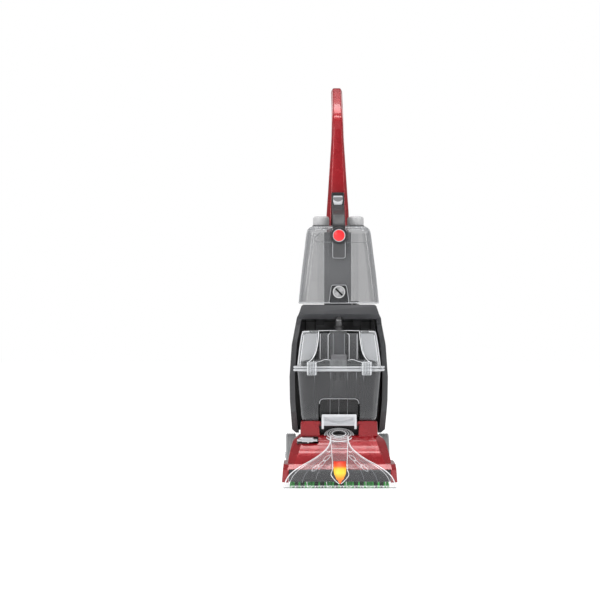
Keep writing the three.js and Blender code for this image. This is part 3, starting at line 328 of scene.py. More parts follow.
def make_materials():
    pale = (0.95, 0.96, 0.98)
    # The paler edge colours given to moulded() are painted highlights along raised edges.
    return {
        "red": pearl("red_gloss", (0.22, 0.002, 0.006), (0.27, 0.003, 0.008), 0.26),
        "badge_red": moulded("badge_red", (0.62, 0.015, 0.02), (0.70, 0.02, 0.025), 0.25),
        "dark_grey": moulded("dark_grey", (0.021, 0.022, 0.025), (0.030, 0.031, 0.034), 0.38, coat=0.1,
                             highlight_colour=(0.10, 0.10, 0.105)),
        "mid_grey": moulded("mid_grey", (0.10, 0.10, 0.107), (0.13, 0.13, 0.137), 0.4,
                            highlight_colour=(0.22, 0.22, 0.23)),
        "channel_grey": moulded("channel_grey", (0.045, 0.046, 0.05), (0.06, 0.061, 0.066), 0.35),
        "black": moulded("black", (0.007, 0.007, 0.008), (0.012, 0.012, 0.014), 0.34,
                         highlight_colour=(0.04, 0.04, 0.042)),
        "satin_black": moulded("satin_black", (0.010, 0.010, 0.011), (0.017, 0.017, 0.019), 0.42,
                               specular=0.35,
                               highlight_colour=(0.04, 0.04, 0.042)),
        "inner_black": moulded("inner_black", (0.004, 0.004, 0.005), (0.008, 0.008, 0.009), 0.6,
                               specular=0.2),
        "silver": brushed("silver", (0.40, 0.41, 0.43), (0.47, 0.48, 0.50), 0.34, 0.4),
        "mid_silver": moulded("mid_silver", (0.24, 0.25, 0.27), (0.30, 0.31, 0.33), 0.3, coat=0.3,
                              highlight_colour=(0.5, 0.5, 0.52)),
        "silver_gloss": moulded("silver_gloss", (0.52, 0.53, 0.55), (0.60, 0.61, 0.63), 0.25, coat=0.3),
        "steel": brushed("steel", (0.50, 0.51, 0.52), (0.64, 0.65, 0.66)),
        "light_grey": moulded("light_grey", (0.40, 0.41, 0.42), (0.47, 0.48, 0.49), 0.4,
                              highlight_colour=(0.6, 0.6, 0.61)),
        "cap_grey": moulded("cap_grey", (0.40, 0.40, 0.405), (0.46, 0.46, 0.465), 0.42,
                            highlight_colour=(0.55, 0.55, 0.56)),
        "wheel_grey": moulded("wheel_grey", (0.24, 0.245, 0.25), (0.31, 0.315, 0.32), 0.45,
                              highlight_colour=(0.4, 0.4, 0.41)),
        "rubber": moulded("rubber", (0.012, 0.012, 0.012), (0.022, 0.022, 0.022), 0.75, grain=500.0, bump=0.3,
                          specular=0.3),
        "smoke": see_through("smoke", (0.17, 0.173, 0.18), 0.46, 0.85, 0.14, (0.36, 0.37, 0.39)),
        "frosted": see_through("frosted", (0.60, 0.61, 0.63), 0.42, 0.7, 0.3, pale),
        "sheet_smoke": see_through("sheet_smoke", (0.16, 0.163, 0.17), 0.6, 0.8, 0.2, (0.3, 0.3, 0.31)),
        "strap_grey": moulded("strap_grey", (0.045, 0.046, 0.048), (0.06, 0.061, 0.064), 0.4),
        "dark_smoke": see_through("dark_smoke", (0.036, 0.037, 0.040), 0.72, 0.88, 0.14,
                                  (0.17, 0.175, 0.185)),
        "rim_clear": see_through("rim_clear", (0.55, 0.57, 0.59), 0.55, 0.9, 0.08, pale),
        "clip_clear": see_through("clip_clear", (0.55, 0.57, 0.59), 0.28, 0.85, 0.08, pale),
        "clear": see_through("clear", (0.62, 0.64, 0.66), 0.06, 0.5, 0.18, pale),
        "nozzle_clear": see_through("nozzle_clear", (0.45, 0.46, 0.48), 0.035, 0.5, 0.2, pale),
        "inner_clear": see_through("inner_clear", (0.40, 0.41, 0.42), 0.03, 0.12, 0.12, (0.5, 0.51, 0.53)),
        "pale_edge": edge_line("pale_edge", (0.55, 0.56, 0.58), 0.75),
        "tank_line": edge_line("tank_line", (0.30, 0.31, 0.33), 0.7),
        # bright_edge glows: a painted highlight over the pale plastic colour of the clear mouldings' rims and ribs.
        "bright_edge": edge_line("bright_edge", (0.86, 0.87, 0.89), 0.78, 0.12),
        "dial_grey": moulded("dial_grey", (0.19, 0.192, 0.196), (0.24, 0.242, 0.247), 0.35, coat=0.3,
                             highlight_colour=(0.42, 0.42, 0.43)),
        # dark_line is a painted shade line under the nozzle's lip.
        "dark_line": edge_line("dark_line", (0.10, 0.10, 0.11), 0.8),
        "fold_smoke": see_through("fold_smoke", (0.16, 0.163, 0.17), 0.10, 0.75, 0.2, (0.13, 0.132, 0.14),
                                  0.5),
        "label": label_material(),
        "green": moulded("green", (0.008, 0.10, 0.012), (0.02, 0.17, 0.025), 0.45, grain=1500.0, bump=0.3),
        "bristle": moulded("bristle", (0.02, 0.34, 0.04), (0.06, 0.60, 0.09), 0.5, grain=2500.0, bump=0.5),
        "bristle_dark": moulded("bristle_dark", (0.002, 0.02, 0.003), (0.004, 0.04, 0.005), 0.6,
                                grain=2500.0),
    }


MATERIALS = {}


def paint(obj, look):
    """Gives an object one of the materials above."""
    obj.data.materials.clear()
    obj.data.materials.append(MATERIALS[look])


# ---- Mesh helpers --------------------------------------------------------------------------------------------
def finish_mesh(obj, sharp=32.0):
    """Smooth shading that breaks only at real edges."""
    for polygon in obj.data.polygons:
        polygon.use_smooth = True
    obj.data.set_sharp_from_angle(angle=math.radians(sharp))


def round_edges(obj, width, segments=3, angle=30.0):
    bevel = obj.modifiers.new("rounding", "BEVEL")
    bevel.width = width * MM
    bevel.segments = segments
    bevel.limit_method = "ANGLE"
    bevel.angle_limit = math.radians(angle)
    bevel.miter_outer = "MITER_ARC"
    normals = obj.modifiers.new("even_normals", "WEIGHTED_NORMAL")
    normals.keep_sharp = True


def object_from(name, verts, faces, look):
    """An object from points in millimetres, faces pointing out, with one of the materials."""
    mesh = bpy.data.meshes.new(name)
    mesh.from_pydata([Vector(v) * MM for v in verts], [], faces)
    work = bmesh.new()
    work.from_mesh(mesh)
    bmesh.ops.remove_doubles(work, verts=work.verts, dist=1e-6)
    bmesh.ops.recalc_face_normals(work, faces=work.faces)
    work.to_mesh(mesh)
    work.free()
    obj = bpy.data.objects.new(name, mesh)
    scene.collection.objects.link(obj)
    paint(obj, look)
    finish_mesh(obj)
    return obj


def place(obj, body, slot, *replaced):
    """Ties a piece to its body and hides the CAD nodes that it stands for; the slot argument is not used."""
    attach(obj, body)
    if replaced:
        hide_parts(*replaced)
    return obj


def loft(rings, closed=True):
    """Points and faces of a skin through rings with equal point counts, its ends closed."""
    count = len(rings[0])
    verts = [point for ring in rings for point in ring]
    faces = []
    for r in range(len(rings) - 1):
        for i in range(count):
            j = (i + 1) % count
            faces.append((r * count + i, r * count + j, (r + 1) * count + j, (r + 1) * count + i))
    if closed:
        last = (len(rings) - 1) * count
        faces.append(tuple(range(count - 1, -1, -1)))
        faces.append(tuple(range(last, last + count)))
    return verts, faces


def prism(outline, low, high, axis):
    """An outline extruded along an axis: (y, z) points along X, (x, z) along Y, (x, y) along Z."""
    spread = {
        "X": lambda u, v, w: (w, u, v),
        "Y": lambda u, v, w: (u, w, v),
        "Z": lambda u, v, w: (u, v, w),
    }[axis]
    return loft([[spread(u, v, low) for u, v in outline], [spread(u, v, high) for u, v in outline]])


def arc(centre, radius, start, end, steps):
    """Points of a round stretch, angles in degrees."""
    points = []
    for i in range(steps + 1):
        angle = math.radians(start + (end - start) * i / steps)
        points.append((centre[0] + radius * math.cos(angle), centre[1] + radius * math.sin(angle)))
    return points


def rounded(outline, radius, steps=5):
    """A closed outline with its corners rounded as far as its edges allow, by one radius or one for each corner."""
    result = []
    count = len(outline)
    radii = radius if hasattr(radius, "__len__") else [radius] * count
    for i, corner in enumerate(outline):
        c = Vector(corner)
        before = Vector(outline[i - 1]) - c
        after = Vector(outline[(i + 1) % count]) - c
        reach = min(radii[i], before.length / 2.1, after.length / 2.1)
        start = c + before.normalized() * reach
        end = c + after.normalized() * reach
        for k in range(steps + 1):
            t = k / steps
            point = start * (1 - t) ** 2 + c * 2 * t * (1 - t) + end * t ** 2
            result.append((point.x, point.y))
    return result


def ring_of(half, front, back, radius, z, steps=7, grow=0.0):
    """Rounded rectangle at a height, seen from above."""
    x, y0, y1, r = half + grow, front - grow, back + grow, max(radius + grow, 0.5)
    centres = [(x - r, y1 - r, 0), (r - x, y1 - r, 90), (r - x, y0 + r, 180), (x - r, y0 + r, 270)]
    return [(u, v, z) for cx, cy, turn in centres for u, v in arc((cx, cy), r, turn, turn + 90, steps)]


def smooth_levels(levels, steps=5):
    """Extra levels between the given ones, along a smooth curve through their values."""
    result = []
    for i in range(len(levels) - 1):
        p0, p1 = levels[max(i - 1, 0)], levels[i]
        p2, p3 = levels[i + 1], levels[min(i + 2, len(levels) - 1)]
        for k in range(steps):
            t = k / steps
            result.append(tuple(
                0.5 * (2 * b + (c - a) * t + (2 * a - 5 * b + 4 * c - d) * t * t + (3 * b - a - 3 * c + d) * t ** 3)
                for a, b, c, d in zip(p0, p1, p2, p3)))
    result.append(tuple(levels[-1]))
    return result


def spin(profile, steps, axis="Z", centre=(0, 0, 0)):
    """A profile of (radius, height) points turned about an axis through the centre; closed if it meets the axis."""
    turn = {"Z": lambda x, y, h: (x, y, h), "Y": lambda x, y, h: (x, h, y), "X": lambda x, y,
            h: (h, x, y)}[axis]
    verts, faces = [], []
    for radius, height in profile:
        for i in range(steps):
            angle = 2 * math.pi * i / steps
            point = turn(radius * math.cos(angle), radius * math.sin(angle), height)
            verts.append(tuple(p + c for p, c in zip(point, centre)))
    for r in range(len(profile) - 1):
        for i in range(steps):
            j = (i + 1) % steps
            faces.append((r * steps + i, r * steps + j, (r + 1) * steps + j, (r + 1) * steps + i))
    return verts, faces


def tube(points, radius, sides=12, closed=True):
    """A round tube along points."""
    path = [Vector(p) for p in points]
    rings = []
    side = None
    for i, point in enumerate(path):
        ahead = (path[min(i + 1, len(path) - 1)] - path[max(i - 1, 0)]).normalized()
        if side is None:
            side = ahead.orthogonal().normalized()
        side = (side - ahead * side.dot(ahead)).normalized()
        up = ahead.cross(side)
        rings.append([tuple(point + (side * math.cos(a) + up * math.sin(a)) * radius)
                      for a in (2 * math.pi * k / sides for k in range(sides))])
    return loft(rings, closed)


def smooth_path(points, steps=8):
    return smooth_levels([tuple(p) for p in points], steps)


def merged(*shapes):
    """Several (points, faces) shapes in one list."""
    verts, faces = [], []
    for shape_verts, shape_faces in shapes:
        start = len(verts)
        verts += shape_verts
        faces += [tuple(start + i for i in face) for face in shape_faces]
    return verts, faces


def moved(shape, offset=(0, 0, 0), matrix=None):
    verts, faces = shape
    if matrix is not None:
        verts = [tuple(matrix @ Vector(v)) for v in verts]
    return [tuple(a + b for a, b in zip(v, offset)) for v in verts], faces


def block(x0, x1, y0, y1, z0, z1):
    return prism([(x0, y0), (x1, y0), (x1, y1), (x0, y1)], z0, z1, "Z")


def carve(obj, shape, mode="DIFFERENCE"):
    """Cuts a shape out of an object, or joins it on, and keeps the result as the object's mesh."""
    tool = object_from("tool", *shape, "black")
    change = obj.modifiers.new("carve", "BOOLEAN")
    change.operation = mode
    change.solver = "EXACT"
    change.object = tool
    depsgraph = bpy.context.evaluated_depsgraph_get()
    result = bpy.data.meshes.new_from_object(obj.evaluated_get(depsgraph))
    obj.modifiers.clear()
    old = obj.data
    look = old.materials[0]
    obj.data = result
    obj.data.materials.clear()
    obj.data.materials.append(look)
    bpy.data.meshes.remove(old)
    bpy.data.objects.remove(tool)
    finish_mesh(obj)


def dress_node(node, look, rounding=1.2, segments=2):
    """A CAD node kept as it is, with its edges rounded and one of the materials."""
    obj = nodes[node]
    paint(obj, look)
    weld = obj.modifiers.new("weld", "WELD")
    weld.merge_threshold = 1e-5
    if rounding:
        round_edges(obj, rounding, segments, 25.0)


# ---- Handle and its trigger --------------------------------------------------------------------------------------
# Stations along the middle line: y, z, tilt back from upright, half width, half thickness.
HANDLE = [
    (72, 700.3, 0, 31, 21), (73, 742, 2, 32, 21), (74, 813, 2, 27.5, 19), (79, 900, 4, 22, 17),
    (83, 965, 4, 18, 16), (87, 1000, 10, 17, 15.5), (95, 1024, 26, 16.6, 15), (108, 1042, 42, 16.4, 14.5),
    (127, 1058, 51, 16.2, 14.2), (162, 1084, 54, 16, 14), (196, 1108.7, 54, 16, 14),
    (205, 1115.2, 54, 15.2, 13.2), (209, 1118.1, 54, 12, 10),
]
FRONT_SECTION = [(1, -0.015), (1, -0.35), (0.68, -1), (-0.68, -1), (-1, -0.35), (-1, -0.015)]
REAR_SECTION = [(-1, 0.015), (-1, 0.42), (-0.58, 1), (0.58, 1), (1, 0.42), (1, 0.015)]
SECTION_RADII = [0.8, 5, 2.6, 2.6, 5, 0.8]
GRIP_RISE = 36.0
GRIP_START = (132, 1061.7)


def handle_ring(station, section):
    y, z, tilt, half, thick = station
    lean = math.radians(tilt)
    outline = rounded([(u * half, v * thick) for u, v in section], SECTION_RADII, 4)
    return [(u, y + v * math.cos(lean), z - v * math.sin(lean)) for u, v in outline]


def under_grip(along, below):
    """Point below the rising grip, so far along its middle line and so far under it."""
    rise = math.radians(GRIP_RISE)
    return (GRIP_START[0] + along * math.cos(rise) + below * math.sin(rise),
            GRIP_START[1] + along * math.sin(rise) - below * math.cos(rise))


def make_handle():
    stations = smooth_levels(HANDLE, 5)
    front = object_from("handle_front_moulding", *loft([handle_ring(s, FRONT_SECTION) for s in stations]),
                        "red")
    rear = object_from("handle_rear_moulding", *loft([handle_ring(s, REAR_SECTION) for s in stations]), "red")
    carve(front, prism(rounded([(-18.5, 690), (18.5, 690), (18.5, 813), (-18.5, 813)], 5), 30, 66, "Y"))
    slot = [under_grip(s, d) for s, d in ((-4, -2), (60, -2), (60, 30), (-4, 30))]
    carve(rear, prism(slot, -8.5, 8.5, "X"))
    for z in (760, 880, 970):
        carve(rear, spin([(0, 80), (4.6, 80), (4.6, 120), (0, 120)], 20, "Y", (0, 0, z)))
    place(front, "upright", "red_gloss", "handle_front")
    place(rear, "upright", "red_gloss", "handle_rear")
    # Near-black plate at the back of the recess above the carry strap: painted shade where the recess falls dark.
    recess_shade = object_from("recess_painted_shade", *block(-18.4, 18.4, 64.6, 65.8, 701, 812.5), "inner_black")
    place(recess_shade, "upright", "black")
    for i, z in enumerate((760, 880, 970)):
        screw(f"handle_screw_{i}", (0, 84 + 0.02 * (z - 760), z), "Y", "upright", 4.2)


def screw(name, centre, axis, body, radius=3.6, depth=3.0):
    """Cross-head screw with its head facing along the axis."""
    head = spin([(0, 0), (radius, 0), (radius, depth * 0.6), (radius * 0.8, depth), (0, depth)], 20, axis,
                centre)
    obj = object_from(name, *head, "steel")
    flat = {"Y": ((1, 0), (0, 1)), "X": ((1, 0), (0, 1)), "Z": ((1, 0), (0, 1))}[axis]
    for u, v in flat:
        long, short = radius * 0.62, radius * 0.14
        a, b = (long, short) if u else (short, long)
        x, y, z = centre
        if axis == "Y":
            carve(obj, block(x - a, x + a, y + depth * 0.55, y + depth * 2, z - b, z + b))
        elif axis == "Z":
            carve(obj, block(x - a, x + a, y - b, y + b, z + depth * 0.55, z + depth * 2))
    return place(obj, body, "steel")


def make_trigger():
    outline = [under_grip(s, d) for s,
               d in ((0, 4), (54, 7), (57, 12), (50, 22), (44, 26.5), (32, 25.5), (20, 24),
                                             (11, 19), (0, 11))]
    blade = object_from("trigger_blade", *prism(rounded(outline, 4, 5), -7.4, 7.4, "X"), "black")
    round_edges(blade, 1.6, 3)
    place(blade, "trigger", "black", "trigger")


# ---- Clean water tank --------------------------------------------------------------------------------------------
WATER = [(498, 110, -88, 42, 22), (503, 110.5, -88.5, 42.5, 24), (570, 104, -88, 42, 26),
         (640, 95.5, -81, 42, 26),
         (690, 89.5, -74, 42, 26), (703, 85.5, -69.5, 40.5, 24), (711, 77, -61, 36, 20),
         (714, 66, -50, 30, 14)]
BADGE_Z = 685
CAP_X = 48
CAP_Y = -8


def tank_ring(level, grow=0.0, steps=9):
    z, half, front, back, radius = level
    return ring_of(half, front, back, radius, z, steps, grow)


def bead(name, points, radius, look, body, slot, closed=False):
    """A thin raised line along points; closed ones join end to end."""
    path = list(points) + ([points[0], points[1]] if closed else [])
    return place(object_from(name, *tube(path, radius, 8), look), body, slot)


def level_at(levels, z):
    """The tank's outline at a height, between the levels given for it."""
    for low, high in zip(levels, levels[1:]):
        if low[0] <= z <= high[0]:
            t = (z - low[0]) / (high[0] - low[0])
            return tuple(a + (b - a) * t for a, b in zip(low, high))
    return levels[-1]


def front_edge(levels, side, z, inset):
    """Point on a tank's front face, so far in from its side."""
    _, half, front, _, _ = level_at(levels, z)
    return (side * (half - inset), front - 0.4, z)


def make_water_tank():
    levels = [WATER[0]] + smooth_levels(WATER[1:], 5)
    skin = object_from("water_tank_moulding", *loft([tank_ring(level) for level in levels]), "smoke")
    for side in (-1, 1):
        neck = spin([(17, 708), (17, 724), (14.5, 724), (14.5, 708)], 32, "Z", (side * CAP_X, CAP_Y, 0))
        part = object_from(f"filler_neck_{side + 1}", *neck, "smoke")
        place(part, "water_tank", "smoke")
    place(skin, "water_tank", "smoke", "water_tank")
    make_tank_lines()


def make_tank_lines():
    """Paler lines where the tank's walls are seen edge on."""
    bottom, top = 501, 700
    for side in (-1, 1):
        for inset, width, first in ((3.5, 0.9, bottom), (9.5, 0.5, bottom + 4)):
            heights = [first + (top - first) * i / 14 for i in range(15)]
            edge = [front_edge(WATER, side, z, inset + 12) for z in heights]
            edge = [(x + side * 12, y + 16 if inset < 5 else y + 7, z) for x, y, z in edge]
            bead(f"tank_edge_{side + 1}_{inset}", edge, width, "pale_edge", "water_tank", "smoke")
        lobe = [(side * x, -71.5 + (z - 690) * 0.55 * -1, z) for x,
                z in ((27, 704), (44, 698), (66, 680), (62, 668))]
        if side < 0:
            bead("tank_shoulder_line", smooth_path(lobe, 5), 0.7, "tank_line", "water_tank", "smoke")
    bead("tank_front_line", [(-62, -76.6, 668), (0, -77.6, 667), (84, -72, 666)], 0.6, "tank_line",
         "water_tank",
         "smoke")
    for side in (-1, 1):
        contour = [front_edge(WATER, side, 502 + (top - 502) * i / 14, 0) for i in range(15)]
        contour = [(x - side * 5.5, y + 20, z) for x, y, z in contour]
        bead(f"tank_contour_{side + 1}", contour, 0.8, "tank_line", "water_tank", "smoke")
    shoulder = [p for p in tank_ring((704, 85, -69, 40, 24), 0.2, 9) if p[1] < -20]
    bead("tank_shoulder_edge", sorted(shoulder), 0.8, "tank_line", "water_tank", "smoke")
    make_inner_walls()
    foot = tank_ring((500, 110, -88, 42, 22), 0.3)
    bead("tank_foot", foot, 1.4, "pale_edge", "water_tank", "smoke", closed=True)


def make_inner_walls():
    """Folded rear wall of the tank that shows through it as broad soft bands."""
    for side in (-1, 1):
        rows = []
        for z, outer in ((504, 106), (570, 100), (640, 92), (696, 84)):
            rows.append([(side * x, y, z) for x,
                         y in ((40, 38), (50, 30), (58, 36), (outer - 16, 36), (outer - 6, 24),
                                                       (outer - 2, 0), (outer - 2, -40))])
        count = len(rows[0])
        verts = [p for row in rows for p in row]
        faces = [(r * count + i, r * count + i + 1, (r + 1) * count + i + 1, (r + 1) * count + i)
                 for r in range(len(rows) - 1) for i in range(count - 1)]
        wall = object_from(f"tank_fold_{side + 1}", verts, faces, "fold_smoke")
        place(wall, "water_tank", "smoke")


def make_detergent_cup():
    rings = [ring_of(24, -38, 24, 12, z, 7) for z in (560, 563, 690, 692)]
    cup = object_from("detergent_cup_moulding", *loft(rings), "inner_clear")
    for vert in cup.data.vertices:
        vert.co.x -= 50 * MM
    place(cup, "water_tank", "clear", "detergent_cup")


def make_cap(name, side):
    """Screw cap: domed top, shallow finger flutes and a dark sealing ring under it."""
    centre = (side * CAP_X, CAP_Y, 0)
    dome = [(17.4, 716.5), (22.4, 716.5), (23, 717.6), (23, 735), (22, 738.4), (19, 740.6), (12, 742),
            (0, 742.6)]
    cap = object_from(f"{name}_moulding",
                      *spin(dome + [(0, 727), (17.4, 727), (17.4, 716.5)], 72, "Z", centre),
                      "cap_grey")
    for vert in cap.data.vertices:
        x, y, z = vert.co / MM
        turn = math.atan2(y - centre[1], x - centre[0])
        if 718 < z < 737 and math.hypot(x - centre[0], y - centre[1]) > 20:
            pull = 0.45 * max(0.0, math.cos(turn * 24))
            vert.co.x -= math.cos(turn) * pull * MM
            vert.co.y -= math.sin(turn) * pull * MM
    place(cap, name, "light_grey", name)
    ring = spin([(17.2, 713.4), (24.6, 713.4), (24.6, 715.9), (17.2, 715.9), (17.2, 713.4)], 48, "Z", centre)
    place(object_from(f"{name}_seal", *ring, "rubber"), "water_tank", "rubber")


def make_carry_handle():
    """Strap from the latch head over the tank and down its front, with the boss for the badge."""
    outline = [(24, 714.6), (36, 714.6), (50, 736), (61, 764), (61, 808), (54, 812), (38, 812), (32, 806),
               (30, 786),
               (22, 776), (4, 767), (-24, 759), (-58, 744), (-86, 716), (-95, 690), (-96.5, 664), (-91, 662),
               (-80.5, 684), (-75, 704), (-52, 728), (-20, 743), (8, 750), (30, 752),
               (36, 744)]
    strap = object_from("carry_strap", *prism(rounded(outline, 7, 4), -17, 17, "X"), "satin_black")
    carve(strap, block(-14, 14, 20, 47, 764, 830))
    round_edges(strap, 2.2, 3)
    place(strap, "water_tank", "black", "carry_handle")
    boss = [(0, -80), (24, -80), (24, -97), (22.4, -99.6), (19.4, -100), (18.6, -98), (0, -98)]
    place(object_from("badge_boss", *spin(boss, 64, "Y", (0, 0, BADGE_Z)), "satin_black"), "water_tank",
          "black")
    foot = rounded([(-16.6, 623), (16.6, 623), (16.6, 670), (-16.6, 670)], 6)
    place(object_from("strap_foot", *prism(foot, -95, -84, "Y"), "strap_grey"), "water_tank", "black")
    rim = [(x * 1.04, -95, z) for x, z in foot]
    bead("strap_foot_line", rim, 0.7, "pale_edge", "water_tank", "smoke", closed=True)


def make_badge():
    """Plain red disc in a thin pale ring; it carries no mark."""
    disc = [(0, -98), (15.6, -98), (15.6, -99.5), (13.5, -100.2), (0, -100.6)]
    place(object_from("badge_disc", *spin(disc, 56, "Y", (0, 0, BADGE_Z)), "badge_red"), "water_tank",
          "red_gloss",
          "badge")
    ring = [(15.6, -98.1), (17.4, -98.1), (17.4, -99.9), (16.8, -100.4), (15.6, -100.2), (15.6, -98.1)]
    place(object_from("badge_ring", *spin(ring, 56, "Y", (0, 0, BADGE_Z)), "silver"), "water_tank", "silver")


def make_release_button():
    """Shield-shaped latch button with a darker finger groove across it."""
    shield = [(13.4, 802), (13.4, 786), (12.2, 779), (8, 773.6), (0, 771.2)]
    outline = rounded([(x, z) for x, z in shield] + [(-x, z) for x, z in reversed(shield[:-1])], 2.5, 4)
    button = object_from("release_button_shield", *prism(outline, 31.6, 45, "Y"), "silver_gloss")
    carve(button, moved(prism(arc((0, 796), 16.5, 200, 340, 16) + [(20, 794), (-20, 794)], 20, 33.4, "Y"),
                        (0, 0, 6)))
    round_edges(button, 0.9, 3)
    place(button, "release_button", "silver", "release_button")
    band = arc((0, 795), 14.6, 206, 334, 16) + [(12.6, 794), (-12.6, 794)]
    groove = object_from("release_button_groove", *moved(prism(band, 33.2, 36, "Y"), (0, 0, 4)), "mid_grey")
    place(groove, "release_button", "silver")


def make_dial():
    """Mixing dial with a screwdriver-like slot, in its trapezoid bezel."""
    bezel = rounded([(-28.4, 499.5), (28.4, 499.5), (20.8, 549), (-20.8, 549)], 6, 5)
    plate = object_from("dial_plate", *prism(bezel, -92, -88.6, "Y"), "dark_smoke")
    carve(plate, spin([(0, -100), (11.2, -100), (11.2, -80), (0, -80)], 32, "Y", (0, 0, 530)))
    place(plate, "water_tank", "dark_smoke", "dial_bezel")
    bead("dial_plate_line", [(x * 0.985, -92.3, z) for x, z in bezel], 0.8, "pale_edge", "water_tank",
         "smoke",
         closed=True)
    profile = [(0, -92.4), (16.8, -92.4), (17, -98.6), (16, -100.6), (13.4, -101), (12.4, -99.2), (0, -99.2)]
    dial = object_from("mix_dial_knob", *spin(profile, 64, "Y", (0, 0, 530)), "dial_grey")
    lean = Matrix.Rotation(math.radians(45), 3, "Y")
    slot = moved(block(-13.5, 13.5, -104, -96.2, -2.6, 2.6), (0, 0, 530), lean)
    carve(dial, slot)
    place(dial, "mix_dial", "light_grey", "mix_dial")
    rim = [(13.6, -100.6), (15.6, -101), (16.6, -100.2), (16.6, -99), (13.6, -99), (13.6, -100.6)]
    place(object_from("mix_dial_rim", *spin(rim, 64, "Y", (0, 0, 530)), "cap_grey"), "mix_dial", "light_grey")
    fill = moved(block(-13.2, 13.2, -97.4, -96.4, -2.5, 2.5), (0, 0, 530), lean)
    place(object_from("mix_dial_slot", *fill, "inner_black"), "mix_dial", "black")


# ---- Recovery tank -----------------------------------------------------------------------------------------------
BUCKET = [(179, 98, -108, 50, 12), (182, 101, -111, 53, 16), (190, 103.6, -114.4, 56, 20),
          (313, 114, -120, 60, 22)]
RIM = [(96, -124), (126, -100), (118, -70), (115.5, 62), (-115.5, 62), (-118, -70), (-126, -100), (-96, -124)]
LID = [(327, 113.6, -118.6, 57.6, 18), (336, 113.3, -118, 57, 20), (380, 108, -113.5, 54.5, 20),
       (412, 103, -109, 52, 20), (421, 99.5, -105.5, 48, 18), (424, 92, -98, 42, 13)]
NOTCH_BACK = -58
LID_ROOF = 421.4
ARCH_HALF = 54
ARCH_TOP = 238
CLIP_X = 75


def rim_outline(grow=0.0):
    return rounded([(x + math.copysign(grow, x), y) for x, y in RIM], 5, 4)


def make_bucket():
    levels = BUCKET[:2] + smooth_levels(BUCKET[2:], 6)
    inside = [(max(level[0], 182.5), *level[1:]) for level in reversed(levels)]
    rings = [tank_ring(level) for level in levels] + [tank_ring(level, -2.6) for level in inside]
    bucket = object_from("bucket_moulding", *loft(rings), "dark_smoke")
    arch = rounded([(-ARCH_HALF, 160), (ARCH_HALF, 160), (ARCH_HALF, ARCH_TOP), (-ARCH_HALF, ARCH_TOP)], 14,
                   8)
    lined = rounded([(-ARCH_HALF - 2.6, 160), (ARCH_HALF + 2.6, 160), (ARCH_HALF + 2.6, ARCH_TOP + 2.6),
                     (-ARCH_HALF - 2.6, ARCH_TOP + 2.6)], 16, 8)
    carve(bucket, prism(lined, -140, 80, "Y"))
    tunnel = [(x, z) for x, z in lined if z > 180]
    wall = tunnel + [(x, z) for x, z in reversed(arch) if z > 180]
    place(object_from("bucket_arch_wall", *prism(wall, -110, 52, "Y"), "dark_smoke"), "recovery_tank",
          "dark_smoke")
    place(bucket, "recovery_tank", "dark_smoke", "recovery_bucket")
    lining = object_from("bucket_arch_back", *prism(rounded([(-ARCH_HALF + 1, 180.5), (ARCH_HALF - 1, 180.5),
                         (ARCH_HALF - 1, ARCH_TOP - 1), (-ARCH_HALF + 1, ARCH_TOP - 1)], 13, 8), -70, -68,
                         "Y"),
                         "dark_smoke")
    place(lining, "recovery_tank", "dark_smoke")
    rim = object_from("bucket_rim", *prism(rim_outline(), 313.2, 320, "Z"), "rim_clear")
    carve(rim, loft([ring_of(110, -116, 56, 18, z, 9) for z in (300, 330)]))
    round_edges(rim, 2.6, 4)
    place(rim, "recovery_tank", "dark_smoke")
    make_bucket_lines(arch)


def make_bucket_lines(arch):
    side = [(x, -111.6 - (z - 180) * 0.06, z) for x, z in arch if z > 178]
    side.sort(key=lambda p: math.atan2(p[2] - 205, p[0]))
    bead("arch_line", [p for p in side], 0.8, "pale_edge", "recovery_tank", "dark_smoke")
    for x, low in ((-67, 186), (-23, 241), (23, 241), (47, 241), (67, 186)):
        line = [(x, -111 - (z - 180) * 0.068, z) for z in (low, 250, 312)]
        bead(f"bucket_rib_{x + 100}", line, 0.55, "tank_line", "recovery_tank", "dark_smoke")
    for x in (-24, 0, 24):
        bead(f"arch_rib_{x + 100}", [(x, -71, 184), (x, -71, 236)], 0.7, "pale_edge", "recovery_tank",
             "dark_smoke")
    for side in (-1, 1):
        corner = [(side * (100.5 + (z - 182) * 0.083), -88 - (z - 182) * 0.02, z) for z in (184, 230, 270,
                                                                                            312)]
        bead(f"bucket_corner_{side + 1}", corner, 0.8, "pale_edge", "recovery_tank", "dark_smoke")


def lobe_outline(side):
    """Front outline of one forward lobe of the lid, its inner edge sweeping out to the foot."""
    inner = [(56, 424), (57.5, 400), (62, 372), (68, 356), (76, 345), (84, 338)]
    return [(side * x, z) for x, z in inner]


def make_lid():
    levels = [LID[0]] + smooth_levels(LID[1:], 5)
    lid = object_from("lid_moulding", *loft([tank_ring(level) for level in levels]), "clear")
    inside = [level for level in levels[1:] if level[0] < LID_ROOF]
    inside = [(LID[0][0] - 6, *LID[0][1:])] + inside + [(LID_ROOF, *inside[-1][1:])]
    carve(lid, loft([tank_ring(level, -2.4) for level in inside]))
    notch = [(side_x, z) for side_x, z in lobe_outline(1)[::-1]] + [(46, 440), (-46, 440)] + lobe_outline(-1)
    notch = [(84, 330)] + [(x, z) for x, z in notch] + [(-84, 330)]
    shape = [(x, max(z, 342)) if abs(x) < 70 else (x, z) for x, z in notch]
    carve(lid, prism([(x, z) for x, z in shape if z > 341.5], -140, NOTCH_BACK, "Y"))
    place(lid, "lid", "clear", "recovery_lid")
    rim = object_from("lid_rim", *prism(rim_outline(), 321.6, 327, "Z"), "rim_clear")
    carve(rim, loft([ring_of(109, -115, 55, 18, z, 9) for z in (310, 340)]))
    round_edges(rim, 2.2, 4)
    place(rim, "lid", "clear")
    make_lid_lines()


def lid_front(z):
    return level_at(LID, z)[2] - 0.5


